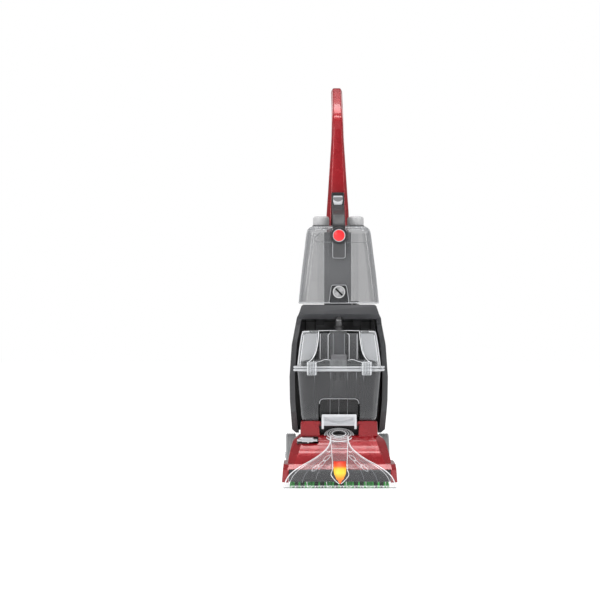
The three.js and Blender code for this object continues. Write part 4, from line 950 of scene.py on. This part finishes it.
def make_lid_lines():
    """Bright lines along the lid's edges and its stiffening ribs."""
    for side in (-1, 1):
        tag = "left" if side < 0 else "right"
        inner = [(x, lid_front(min(z, 422)), min(z, 422)) for x, z in lobe_outline(side)]
        bead(f"lobe_inner_{tag}", smooth_path(inner, 4), 1.0, "bright_edge", "lid", "clear")
        bead(f"lobe_step_{tag}", smooth_path([(x - side * -4, y + 4, z - 5) for x, y, z in inner[:-1]], 4),
             0.5,
             "bright_edge", "lid", "clear")
        outer = [(side * (level_at(LID, z)[1] - 1.0), level_at(LID, z)[2] + 17, z) for z in range(328, 421,
                                                                                                  7)]
        bead(f"lid_side_{tag}", outer, 1.1, "bright_edge", "lid", "clear")
        outer = [(side * (level_at(LID, z)[1] - 7.0), level_at(LID, z)[2] + 2, z) for z in range(328, 418, 7)]
        bead(f"lid_corner_{tag}", outer, 0.6, "bright_edge", "lid", "clear")
        rib = [(side * 29, NOTCH_BACK - 1, z) for z in (345, 380, 404, 411)] + [(side * 24, NOTCH_BACK - 1,
                                                                                 416)]
        bead(f"lid_rib_{tag}", smooth_path(rib, 4), 1.3, "bright_edge", "lid", "clear")
        inner_rib = [(side * 51, NOTCH_BACK - 1, z) for z in (345, 378, 414)]
        bead(f"lid_wall_{tag}", smooth_path(inner_rib, 3), 0.8, "bright_edge", "lid", "clear")
        foot = [(side * x, -104, z) for x, z in ((84, 338), (66, 337), (52, 340), (38, 345), (24, 343))]
        bead(f"lid_foot_{tag}", smooth_path(foot, 4), 0.8, "bright_edge", "lid", "clear")
        for x in (66, 70, 80, 84):
            bead(f"clip_guide_{tag}_{x}", [(side * x, -121, z) for z in (328, 338, 350 - abs(x - 75))], 0.5,
                 "rim_clear", "lid", "clear")
        make_lobe_panel(tag, side)
    top = [p for p in tank_ring((421, 99.5, -105.5, 48, 18), 0.2, 9) if p[1] < 10]
    top.sort(key=lambda p: p[0])
    for side in (-1, 1):
        edge = [p for p in top if p[0] * side > 56]
        bead(f"lid_top_{side + 1}", edge, 0.9, "bright_edge", "lid", "clear")
    bead("lid_back_top", [(-56, NOTCH_BACK, 423), (0, NOTCH_BACK, 424), (56, NOTCH_BACK, 423)], 0.9,
         "bright_edge",
         "lid", "clear")


def make_lobe_panel(tag, side):
    """Frosted inner face of one forward lobe, and the darker sheet beside the channel."""
    outer = [(level_at(LID, z)[1] - 8, z) for z in (340, 360, 380, 400, 416)]
    inner = [(59, 416), (60, 400), (64, 372), (70, 357), (80, 345)]
    outline = [(side * x, z) for x, z in rounded(outer + inner, 4)]
    verts, faces = prism(outline, 0, 1.2, "Y")
    verts = [(x, lid_front(z) + 6 + y, z) for x, y, z in verts]
    place(object_from(f"lobe_panel_{tag}", verts, faces, "frosted"), "lid", "clear")
    sheet = [(side * x, z) for x, z in ((17, 344), (56, 344), (54, 416), (17, 416))]
    place(object_from(f"lid_sheet_{tag}", *prism(sheet, NOTCH_BACK + 2, NOTCH_BACK + 3, "Y"), "sheet_smoke"),
          "lid",
          "clear")


def make_lid_duct():
    """Dark channel down the set-back middle of the lid, with its wider foot."""
    shaft = rounded([(-15, -90), (15, -90), (15, -58.4), (-15, -58.4)], 5, 4)
    foot = rounded([(-22, -98), (22, -98), (22, -58.4), (-22, -58.4)], 5, 4)
    duct = object_from("duct_shaft", *prism(shaft, 350, 418, "Z"), "channel_grey")
    carve(duct, block(-11, 11, -86, -63, 340, 430))
    place(duct, "lid", "dark_grey", "lid_duct")
    base = object_from("duct_foot", *loft([[(x, y, 342.4) for x, y in foot], [(x, y, 355) for x, y in foot],
                                           [(x * 0.86, y * 0.98, 359) for x, y in foot]]), "mid_grey")
    round_edges(base, 0.8, 2)
    place(base, "lid", "dark_grey")
    for side in (-1, 1):
        bead(f"duct_line_{side + 1}", [(side * 14.6, -90.2, z) for z in (357, 385, 417)], 0.7, "tank_line",
             "lid",
             "dark_grey")


def make_lid_clip(name, side):
    """Clear plastic clip with side ribs that holds the lid to the bucket."""
    x = side * CLIP_X
    outline = rounded([(x - 13, 303), (x + 13, 303), (x + 15, 322), (x + 13, 340), (x - 13, 340),
                       (x - 15, 322)], 3, 4)
    clip = object_from(f"{name}_plate", *prism(outline, -131, -127.6, "Y"), "clip_clear")
    round_edges(clip, 0.8, 2)
    place(clip, name, "dark_grey", name)
    for edge in (-11, 11):
        bead(f"{name}_rib_{edge + 20}", [(x + edge, -131.4, z) for z in (304, 320, 338)], 0.6, "bright_edge",
             name,
             "clear")
    for edge in (-4, 4):
        bead(f"{name}_rib_{edge + 20}", [(x + edge, -131.4, z) for z in (308, 320, 336)], 0.5, "rim_clear",
             name,
             "clear")
    barrel = spin([(0, x - 14), (2.6, x - 14), (2.6, x + 14), (0, x + 14)], 20, "X", (0, -127.5, 337))
    place(object_from(f"{name}_barrel", *barrel, "clip_clear"), name, "clear")


def make_float():
    ball = [(0, 247), (12, 247.4), (17.4, 250.5), (19, 256), (19, 272), (17.4, 278), (12, 281.4), (0, 282)]
    place(object_from("float_ball", *spin(ball, 40, "Z", (0, 6, 0)), "light_grey"), "float", "light_grey",
          "float")


# ---- Base --------------------------------------------------------------------------------------------------------
# Levels of the hood: height, half width, front, corner cut.
HOOD = [(16, 156, -181, 10), (50, 153.4, -187, 12), (64, 151.6, -174, 14), (66.5, 140, -172, 18),
        (78, 138, -164, 20), (88, 136, -157, 22), (98, 133.5, -148, 24), (110, 130, -136.5, 24),
        (120, 127, -128, 24),
        (127, 122, -120, 22), (132, 115, -114.5, 20), (137, 109, -108, 18)]
HOOD_REAR = -55
COLLAR = (0, -97, 138)
COLLAR_TILT = 22.0
NOZZLE_CURVE = [(-215, 1, 152.6), (-215, 8, 151.6), (-212, 22, 148), (-207, 38, 139), (-201, 52, 124),
                (-188, 68, 98), (-177, 81, 72), (-166.5, 94, 52), (-154.5, 108, 35), (-144, 121, 27),
                (-137, 129, 25),
                (-128, 140, 25)]
LABEL_HALF = 17


def hood_ring(level, inset=0.0):
    z, half, front, corner = level
    w, f = half - inset, front + inset
    return [(w, HOOD_REAR, z), (w, f + corner, z), (w - corner, f, z),
            (-w + corner, f, z), (-w, f + corner, z), (-w, HOOD_REAR, z)]


def make_hood():
    levels = HOOD
    skin = object_from("hood_moulding", *loft([hood_ring(level) for level in levels]), "red")
    hollow = loft([hood_ring(level,
                             3.2) for level in [(10, *HOOD[0][1:])] + HOOD[1:-2] + [(132, *HOOD[-2][1:])]])
    carve(skin, hollow)
    carve(skin, block(-137.5, 137.5, -200, -176, 10, 52))
    carve(skin, prism(rounded([(-115, -140), (-57, -140), (-57, -101), (-115, -101)], 4), 116.6, 150, "Z"))
    collar = spin([(0, -20), (20, -20), (20, 20), (0, 20)], 48, "Z")
    carve(skin, moved(collar, COLLAR, Matrix.Rotation(math.radians(COLLAR_TILT), 3, "X")))
    round_edges(skin, 3.4, 4, 9)
    place(skin, "base", "red_gloss", "hood")
    for side in (-1, 1):
        make_post(side)
    well = object_from("pedal_well", *block(-114.8, -57.2, -127, -101.2, 114.4, 116.4), "inner_black")
    place(well, "base", "black")


def make_post(side):
    """Red upright that the recovery tank rests on."""
    tag = "left" if side < 0 else "right"
    lower = rounded([(53, -108), (106, -108), (106, -62), (53, -62)], 5, 4)
    ring = lambda z, pull: [(side * (80 + (x - 80) * pull), -85 + (y + 85) * pull, z) for x, y in lower]
    post = object_from(f"post_{tag}", *loft([ring(134, 1.0), ring(146, 0.99), ring(176, 0.95)]), "red")
    round_edges(post, 3.0, 4)
    place(post, "base", "red_gloss")
    ledge = object_from(f"post_ledge_{tag}", *block(*sorted((side * 52, side * 66)), -110, -104, 168, 176),
                        "red")
    round_edges(ledge, 1.5, 3)
    place(ledge, "base", "red_gloss")


def nozzle_section(y, z, half, ahead):
    """A line across the nozzle, its edges curling back."""
    normal = Vector((0, ahead[1], -ahead[0])).normalized()
    if normal.y > 0:
        normal.negate()
    points = []
    for i in range(25):
        u = -1 + 2 * i / 24
        drop = 5.0 * abs(u) ** 6
        points.append((u * half, y - normal.y * drop + 0.6, z - normal.z * drop))
    return points


def nozzle_stations(steps=5):
    path = smooth_levels(NOZZLE_CURVE, steps)
    result = []
    for i, (y, z, half) in enumerate(path):
        a, b = path[max(i - 1, 0)], path[min(i + 1, len(path) - 1)]
        result.append((y, z, half, (b[0] - a[0], b[1] - a[1])))
    return result


def nozzle_point(across, z, lift=0.8):
    """Point on the nozzle's front, a share of its half width from the middle."""
    path = nozzle_stations()
    y, height, half, ahead = min(path, key=lambda s: abs(s[1] - z))
    normal = Vector((0, ahead[1], -ahead[0])).normalized()
    if normal.y > 0:
        normal.negate()
    drop = 5.0 * abs(across) ** 6
    return (across * half, y + normal.y * (lift - drop) + 0.6, max(height + normal.z * (lift - drop), 0.6))


def make_nozzle():
    rings = [nozzle_section(*station) for station in nozzle_stations()]
    count = len(rings[0])
    verts = [p for ring in rings for p in ring]
    faces = [(r * count + i, r * count + i + 1, (r + 1) * count + i + 1, (r + 1) * count + i)
             for r in range(len(rings) - 1) for i in range(count - 1)]
    skirt = object_from("nozzle_skirt", verts, faces, "nozzle_clear")
    wall = skirt.modifiers.new("wall", "SOLIDIFY")
    wall.thickness = 2.6 * MM
    wall.offset = 0
    place(skirt, "nozzle", "clear", "nozzle")
    make_collar()
    make_nozzle_lines()
    make_label()


def make_collar():
    tilt = Matrix.Rotation(math.radians(COLLAR_TILT), 3, "X")
    profile = [(18.4, -6), (30, -7), (38, -4), (39.6, -1), (38.6, 1.6), (33, 3.4), (28, 3), (24, 4.6),
               (20.6, 5),
               (18.4, 3), (18.4, -6)]
    place(object_from("nozzle_collar", *moved(spin(profile, 72, "Z"), COLLAR, tilt), "nozzle_clear"),
          "nozzle",
          "clear")
    for radius, height, width in ((39.4, 0, 1.3), (33, 3.6, 0.8), (26, 4.2, 0.8), (19, 4.4, 1.3)):
        loop = [(radius * math.cos(a), radius * math.sin(a), height)
                for a in (2 * math.pi * k / 56 for k in range(56))]
        points = [tuple(tilt @ Vector(p) + Vector(COLLAR)) for p in loop]
        bead(f"collar_line_{int(radius)}", points, width, "bright_edge", "nozzle", "clear", closed=True)
    throat = [(0, -9), (18.2, -9), (18.2, -2), (0, -2)]
    place(object_from("collar_throat", *moved(spin(throat, 48, "Z"), COLLAR, tilt), "inner_black"), "base",
          "black")


def make_nozzle_lines():
    """Bright edges, the central channel and the flow ribs of the clear nozzle."""
    heights = [2, 5, 9, 14, 20, 28, 38, 48, 58, 68, 78, 88, 98, 108, 118, 128, 138]
    for side in (-1, 1):
        tag = "left" if side < 0 else "right"
        bead(f"nozzle_side_{tag}", smooth_path([nozzle_point(side * 0.985, z) for z in heights], 3), 1.15,
             "bright_edge", "nozzle", "clear")
        bead(f"nozzle_second_{tag}", smooth_path([nozzle_point(side * 0.9, z) for z in heights[2:]], 3), 0.5,
             "bright_edge", "nozzle", "clear")
        channel = [(side * x, z) for x, z in ((24, 128), (22, 112), (21, 90), (19.5, 64), (20, 52), (24, 42),
                                              (19, 31), (10, 22), (2, 15))]
        bead(f"nozzle_channel_{tag}", smooth_path([on_nozzle(x, z) for x, z in channel], 4), 0.85,
             "bright_edge",
             "nozzle", "clear")
        for share, low, high in ((0.44, 22, 104), (0.68, 20, 84)):
            line = [nozzle_point(side * share, z) for z in heights if low <= z <= high]
            bead(f"nozzle_rib_{tag}_{int(share * 100)}", smooth_path(line, 3), 0.55, "tank_line", "nozzle",
                 "clear")
    lip = [nozzle_point(u / 10, 2.4, 1.4) for u in range(-10, 11)]
    bead("nozzle_lip", lip, 1.7, "bright_edge", "nozzle", "clear")
    shade = [nozzle_point(u / 10 * 0.99, 6.4, 1.2) for u in range(-10, 11)]
    bead("nozzle_lip_shade", shade, 0.8, "dark_line", "nozzle", "clear")
    upper = [nozzle_point(u / 10 * 0.96, 10, 1.0) for u in range(-10, 11)]
    bead("nozzle_lip_line", upper, 0.7, "bright_edge", "nozzle", "clear")
    make_flow_ribs()
    for x in (-118, -88, -59, -30, 30, 59, 88, 118):
        bead(f"lip_web_{x + 200}", [on_nozzle(x, 1.6), on_nozzle(x, 10)], 0.7, "bright_edge", "nozzle",
             "clear")


def make_flow_ribs():
    """Short slot-shaped ribs moulded into both halves of the nozzle, and the clips beside its neck."""
    for side in (-1, 1):
        for k, (x, z, length) in enumerate(((34, 82, 26), (48, 68, 30), (66, 56, 26))):
            loop = []
            for u, v in arc((0, 0), 1, 0, 360, 20)[:-1]:
                along, across = u * length / 2, v * 4.2
                px = x + along * 0.72 + across * 0.5
                pz = z - along * 0.55 + across * 0.8
                loop.append(on_nozzle(side * px, pz))
            bead(f"flow_rib_{side + 1}_{k}", loop, 0.55, "bright_edge", "nozzle", "clear", closed=True)
        clip = [on_nozzle(side * x, z) for x, z in ((24, 120), (33, 112), (36, 103), (30, 98), (23, 100))]
        bead(f"neck_clip_{side + 1}", smooth_path(clip, 4), 0.6, "bright_edge", "nozzle", "clear")
        for z in (104, 122):
            cross = [on_nozzle(x, z) for x in (-22, 0, 22)]
            bead(f"neck_band_{side + 1}_{z}", cross, 0.7, "bright_edge", "nozzle", "clear")


def on_nozzle(x, z):
    """Point on the nozzle's front at a distance from the middle plane."""
    half = min(nozzle_stations(), key=lambda s: abs(s[1] - z))[2]
    return nozzle_point(max(-1.0, min(1.0, x / half)), z)


def make_label():
    """Shield-shaped coloured patch on the channel, without any lettering."""
    outline = [(-LABEL_HALF, 73), (LABEL_HALF, 73), (17, 52), (15.5, 42), (10, 30), (0, 16), (-10, 30),
               (-15.5, 42),
               (-17, 52)]
    rows = sorted({z for _, z in outline} | {20, 24, 35, 47, 58, 64, 69})
    verts, faces = [], []
    for z in rows:
        half = label_half(z, outline)
        verts += [tuple(on_nozzle(-half, z)), tuple(on_nozzle(0, z)), tuple(on_nozzle(half, z))]
    verts = [(x, y - 1.1, z) for x, y, z in verts]
    for r in range(len(rows) - 1):
        for c in range(2):
            faces.append((r * 3 + c, r * 3 + c + 1, r * 3 + c + 4, r * 3 + c + 3))
    label = object_from("nozzle_label", verts, faces, "label")
    sheet = label.modifiers.new("sheet", "SOLIDIFY")
    sheet.thickness = 0.5 * MM
    sheet.offset = 1
    place(label, "nozzle", "clear")


def label_half(z, outline):
    right = sorted((p[1], p[0]) for p in outline if p[0] >= 0)
    for (z0, x0), (z1, x1) in zip(right, right[1:]):
        if z0 <= z <= z1:
            return max(x0 + (x1 - x0) * (z - z0) / max(z1 - z0, 1e-6), 0.4)
    return 0.4


BRUSH_Y = -143
BRUSH_PITCH = 53.5
TEETH = 20


def make_brush(i):
    """Round brush: toothed rim, hub and tufts that splay a little."""
    name = f"brush_{i + 1}"
    x = (i - 2) * BRUSH_PITCH
    turn = math.pi / TEETH if i % 2 else 0.0
    rim = []
    for k in range(TEETH * 4):
        angle = 2 * math.pi * k / (TEETH * 4) + turn
        radius = 28.0 if k % 4 in (0, 1) else 24.8
        rim.append((x + radius * math.cos(angle), BRUSH_Y + radius * math.sin(angle)))
    disc = object_from(f"{name}_gear", *prism(rim, 22.6, 27.4, "Z"), "green")
    place(disc, name, "green", name)
    for ring, count, finish in ((15, 7, "bristle_dark"), (23.5, 9, "bristle")):
        tufts = []
        for k in range(count):
            angle = 2 * math.pi * k / count + ring
            cx, cy = ring * math.cos(angle), ring * math.sin(angle)
            tufts.append(tuft((x + cx, BRUSH_Y + cy), (x + cx * 1.1, BRUSH_Y + cy * 1.1)))
        place(object_from(f"{name}_{finish}", *merged(*tufts), finish), name, "green")
    core = spin([(0, 3), (13, 3), (13, 22.4), (0, 22.4)], 32, "Z", (x, BRUSH_Y, 0))
    place(object_from(f"{name}_core", *core, "bristle_dark"), name, "green")


def tuft(top, bottom, radius=2.6):
    rings = []
    for centre, z, r in ((top, 24, radius * 0.8), (bottom, 0.8, radius * 1.25)):
        rings.append([(centre[0] + r * math.cos(a), centre[1] + r * math.sin(a), z)
                      for a in (2 * math.pi * k / 7 for k in range(7))])
    return loft(rings)


def make_wheel(name, side):
    """Moulded wheel: grooved tread, dished face with spokes and a hub cap."""
    radius, inner, outer = 62.5, 119, 147
    profile = [(5.6, inner), (22, inner), (24, inner + 4), (50, inner + 4), (53, inner + 0.6),
               (radius - 3, inner),
               (radius, inner + 3)]
    for k in range(4):
        at = inner + 6 + k * 4.6
        profile += [(radius, at), (radius - 1.3, at + 0.6), (radius - 1.3, at + 1.6), (radius, at + 2.2)]
    profile += [(radius, outer - 3), (radius - 3, outer), (53, outer), (50, outer - 5), (24, outer - 5),
                (21, outer),
                (5.6, outer)]
    turn = spin([(r, side * x) for r, x in profile] + [(5.6, side * inner)], 72, "X", (0, 120, 62.5))
    place(object_from(f"{name}_moulding", *turn, "wheel_grey"), name, "light_grey", name)
    spokes = []
    for k in range(5):
        lean = Matrix.Rotation(2 * math.pi * k / 5, 3, "X")
        x0, x1 = sorted((side * (outer - 5.4), side * (outer - 1.2)))
        spokes.append(moved(block(x0, x1, -3.2, 3.2, 20, 51), (0, 120, 62.5), lean))
    place(object_from(f"{name}_spokes", *merged(*spokes), "wheel_grey"), name, "light_grey")
    cap = spin([(0, side * (outer + 1.6)), (8, side * (outer + 1)), (10.4, side * (outer - 0.6)),
                (10.4, side * (outer - 3)), (0, side * (outer - 3))], 40, "X", (0, 120, 62.5))
    place(object_from(f"{name}_hub", *cap, "dark_grey"), name, "light_grey")


def make_tank_latch():
    """Silver latch between the red posts, with a raised top edge and a curved finger groove."""
    outline = rounded([(-48, 164), (48, 164), (47, 195), (-47, 195)], 3.5, 4)
    plate = object_from("latch_plate", *prism(outline, -114, -102.4, "Y"), "silver")
    smile = arc((0, 262), 86, 243, 297, 20)
    groove = smile + [(x * 1.01, z - 4.4) for x, z in reversed(smile)]
    carve(plate, prism(groove, -120, -111, "Y"))
    round_edges(plate, 1.6, 3)
    place(plate, "tank_latch", "silver", "tank_latch")
    lip = prism(rounded([(-48, 188.5), (48, 188.5), (47, 195.4), (-47, 195.4)], 2, 3), -116, -110, "Y")
    top = object_from("latch_top", *lip, "silver_gloss")
    round_edges(top, 1.2, 3)
    place(top, "tank_latch", "silver")
    for side in (-1, 1):
        x0, x1 = sorted((side * 41.5, side * 48))
        leg = object_from(f"latch_leg_{side + 1}", *block(x0, x1, -115, -104, 155, 190), "silver_gloss")
        round_edges(leg, 1.8, 3)
        place(leg, "tank_latch", "silver")


def make_hood_pedal():
    """Stepped silver pedal in the hood's left recess."""
    shelf = object_from("pedal_plate", *block(-112.6, -59.4, -136.4, -103.4, 122.6, 128.6), "silver")
    round_edges(shelf, 1.6, 3)
    place(shelf, "hood_pedal", "silver", "hood_pedal")
    tread = object_from("pedal_tread", *block(-102, -70, -138, -104, 121, 132.6), "silver")
    round_edges(tread, 2.2, 3)
    place(tread, "hood_pedal", "silver")


def make_front_panel():
    panel = object_from("panel_plate",
                        *prism(rounded([(-137, 19), (137, 19), (137, 49.8), (-137, 49.8)], 2.5),
                                              -186.4, -183.4, "Y"), "black")
    round_edges(panel, 0.8, 2)
    place(panel, "base", "black", "front_panel")


# ---- Upright -----------------------------------------------------------------------------------------------------


def make_housing_details():
    """Ribs on the back wall of the bay, the dark tube over it and the brow's seams."""
    for x in (-92, -64, 64, 92):
        rib = object_from(f"bay_rib_{x + 200}", *block(x - 1.3, x + 1.3, 63, 70, 300, 452), "inner_black")
        place(rib, "upright", "dark_grey")
    for z in (330, 372, 414, 448):
        rib = object_from(f"bay_shelf_{z}", *block(-100, 100, 66, 70, z - 1, z + 1), "inner_black")
        place(rib, "upright", "dark_grey")
    for side in (-1, 1):
        hook = rounded([(40, 438), (62, 438), (62, 457), (40, 457)], 3)
        shape = prism([(side * x, z) for x, z in hook], -52, -46, "Y")
        place(object_from(f"brow_rib_{side + 1}", *shape, "inner_black"), "upright", "dark_grey")
    spout = [(0, -74, 471), (0, -73, 456), (0, -71, 440), (0, -72, 425)]
    place(object_from("spout_tube", *tube(smooth_path(spout, 5), 9.6, 24), "black"), "upright", "black")
    seal = spin([(9.7, 432), (13.5, 432), (13.5, 437), (9.7, 437), (9.7, 432)], 32, "Z", (0, -72, 0))
    place(object_from("spout_seal", *seal, "rubber"), "upright", "rubber")


def make_rear_details():
    """Screws, seams and vents on the rear of the housing."""
    for side in (-1, 1):
        for z in (180, 300, 420):
            y = 152 + (z - 172) * 0.031 if z < 310 else 145
            screw(f"rear_screw_{side + 1}_{z}", (side * 88, y, z), "Y", "upright", 4.0)
    for k in range(9):
        z = 350 + k * 8
        slot = object_from(f"rear_vent_{k}",
                           *block(-46, 46, 150.5 - (z - 350) * 0.075, 154.6 - (z - 350) * 0.075,
                                                    z, z + 3.2), "inner_black")
        round_edges(slot, 0.8, 2)
        place(slot, "upright", "dark_grey")
    frame_line = rounded([(-54, 340), (54, 340), (54, 430), (-54, 430)], 8, 5)
    points = [(x, 154.2 - (z - 340) * 0.072, z) for x, z in frame_line]
    bead("rear_vent_frame", points, 1.4, "dark_grey", "upright", "dark_grey", closed=True)


def make_bellows():
    """Corrugated hose in a curve between the base's suction hose and the upright's riser."""
    path = smooth_levels([(0, 62, 50), (0, 80, 53), (0, 104, 66), (0, 118, 84), (0, 120, 98)], 12)
    rings = []
    for i, point in enumerate(path):
        ahead = (Vector(path[min(i + 1, len(path) - 1)]) - Vector(path[max(i - 1, 0)])).normalized()
        across = Vector((1, 0, 0))
        up = ahead.cross(across)
        radius = 11.6 + (1.6 if i % 4 in (1, 2) else 0.0)
        rings.append([tuple(Vector(point) + (across * math.cos(a) + up * math.sin(a)) * radius)
                      for a in (2 * math.pi * k / 24 for k in range(24))])
    bellows = object_from("hose_bellows", *loft(rings), "rubber")
    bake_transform(bellows)


def make_cord_hooks():
    """Hooks at the rear that the mains cord winds around."""
    lower = [(156.6, 324), (190, 324), (190.2, 364), (184.4, 364), (182, 338), (176, 335.5), (156.6, 336)]
    hook = object_from("cord_hook_low", *prism(rounded(lower, 3, 4), -9, 9, "X"), "black")
    round_edges(hook, 1.6, 3)
    place(hook, "upright", "black", "cord_hook_lower")
    upper = [(128, 607), (140, 606), (140, 566), (134.2, 566), (133, 590), (106.4, 592), (106.4, 606)]
    hook = object_from("cord_hook_high", *prism(rounded(upper, 3, 4), -8.6, 8.6, "X"), "black")
    round_edges(hook, 1.6, 3)
    place(hook, "cord_hook_upper", "black", "cord_hook_upper")


def make_foot_pedals():
    """Ribbed foot pedals at the rear for power and for releasing the upright."""
    for name, x0, x1, top in (("power_pedal", 30, 74, 0), ("recline_pedal", -112, -89, 0)):
        low, high = limits(name)
        obj = nodes[name]
        paint(obj, "dark_grey")
        weld = obj.modifiers.new("weld", "WELD")
        weld.merge_threshold = 1e-5
        round_edges(obj, 1.8, 3, 20.0)
        for k in range(3):
            y = low.y + (high.y - low.y) * (0.52 + 0.14 * k)
            z = low.z + (high.z - low.z) * (0.93 - 0.2 * k)
            bead(f"{name}_grip_{k}", [(x0 + 4, y, z), (x1 - 4, y, z)], 1.1, "black", name, "dark_grey")


# ---- Making ------------------------------------------------------------------------------------------------------
# CAD nodes kept as they are: material and edge rounding in millimetres.
KEPT = {
    "chassis": ("black", 1.6), "lower_cover": ("red", 1.2), "brush_block": ("black", 1.0),
    "turbine_housing": ("dark_grey", 1.0), "turbine_rotor": ("light_grey", 0.4), "nozzle_seal": ("rubber", 0),
    "spray_bar": ("black", 0.5), "axle_left": ("steel", 0.5), "axle_right": ("steel", 0.5),
    "suction_hose": ("rubber", 0), "motor_casing": ("black", 1.6), "pivot_pin_left": ("steel", 0.6),
    "pivot_pin_right": ("steel", 0.6), "suction_motor": ("steel", 0.8), "suction_fan": ("light_grey", 0.3),
    "solution_pump": ("light_grey", 0.8), "front_housing": ("dark_grey", 2.2),
    "rear_housing": ("dark_grey", 3.0),
    "riser_duct": ("black", 0), "valve_seat": ("rubber", 0), "solution_tube": ("inner_clear", 0),
    "trigger_rod": ("black", 0), "lid_gasket": ("rubber", 0), "float_cage": ("light_grey", 0.4),
    "button_spring": ("steel", 0), "tank_valve": ("rubber", 0.3),
}


def main():
    add_camera()
    add_lights()
    MATERIALS.update(make_materials())
    add_floor()
    for node, (look, rounding) in KEPT.items():
        dress_node(node, look, rounding)
    make_handle()
    make_trigger()
    make_water_tank()
    make_detergent_cup()
    make_cap("cap_left", -1)
    make_cap("cap_right", 1)
    make_carry_handle()
    make_badge()
    make_release_button()
    make_dial()
    make_bucket()
    make_lid()
    make_lid_duct()
    make_lid_clip("lid_clip_left", -1)
    make_lid_clip("lid_clip_right", 1)
    make_float()
    make_hood()
    make_nozzle()
    for i in range(5):
        make_brush(i)
    make_wheel("wheel_left", -1)
    make_wheel("wheel_right", 1)
    make_tank_latch()
    make_hood_pedal()
    make_front_panel()
    make_housing_details()
    make_rear_details()
    make_bellows()
    make_cord_hooks()
    make_foot_pedals()


main()
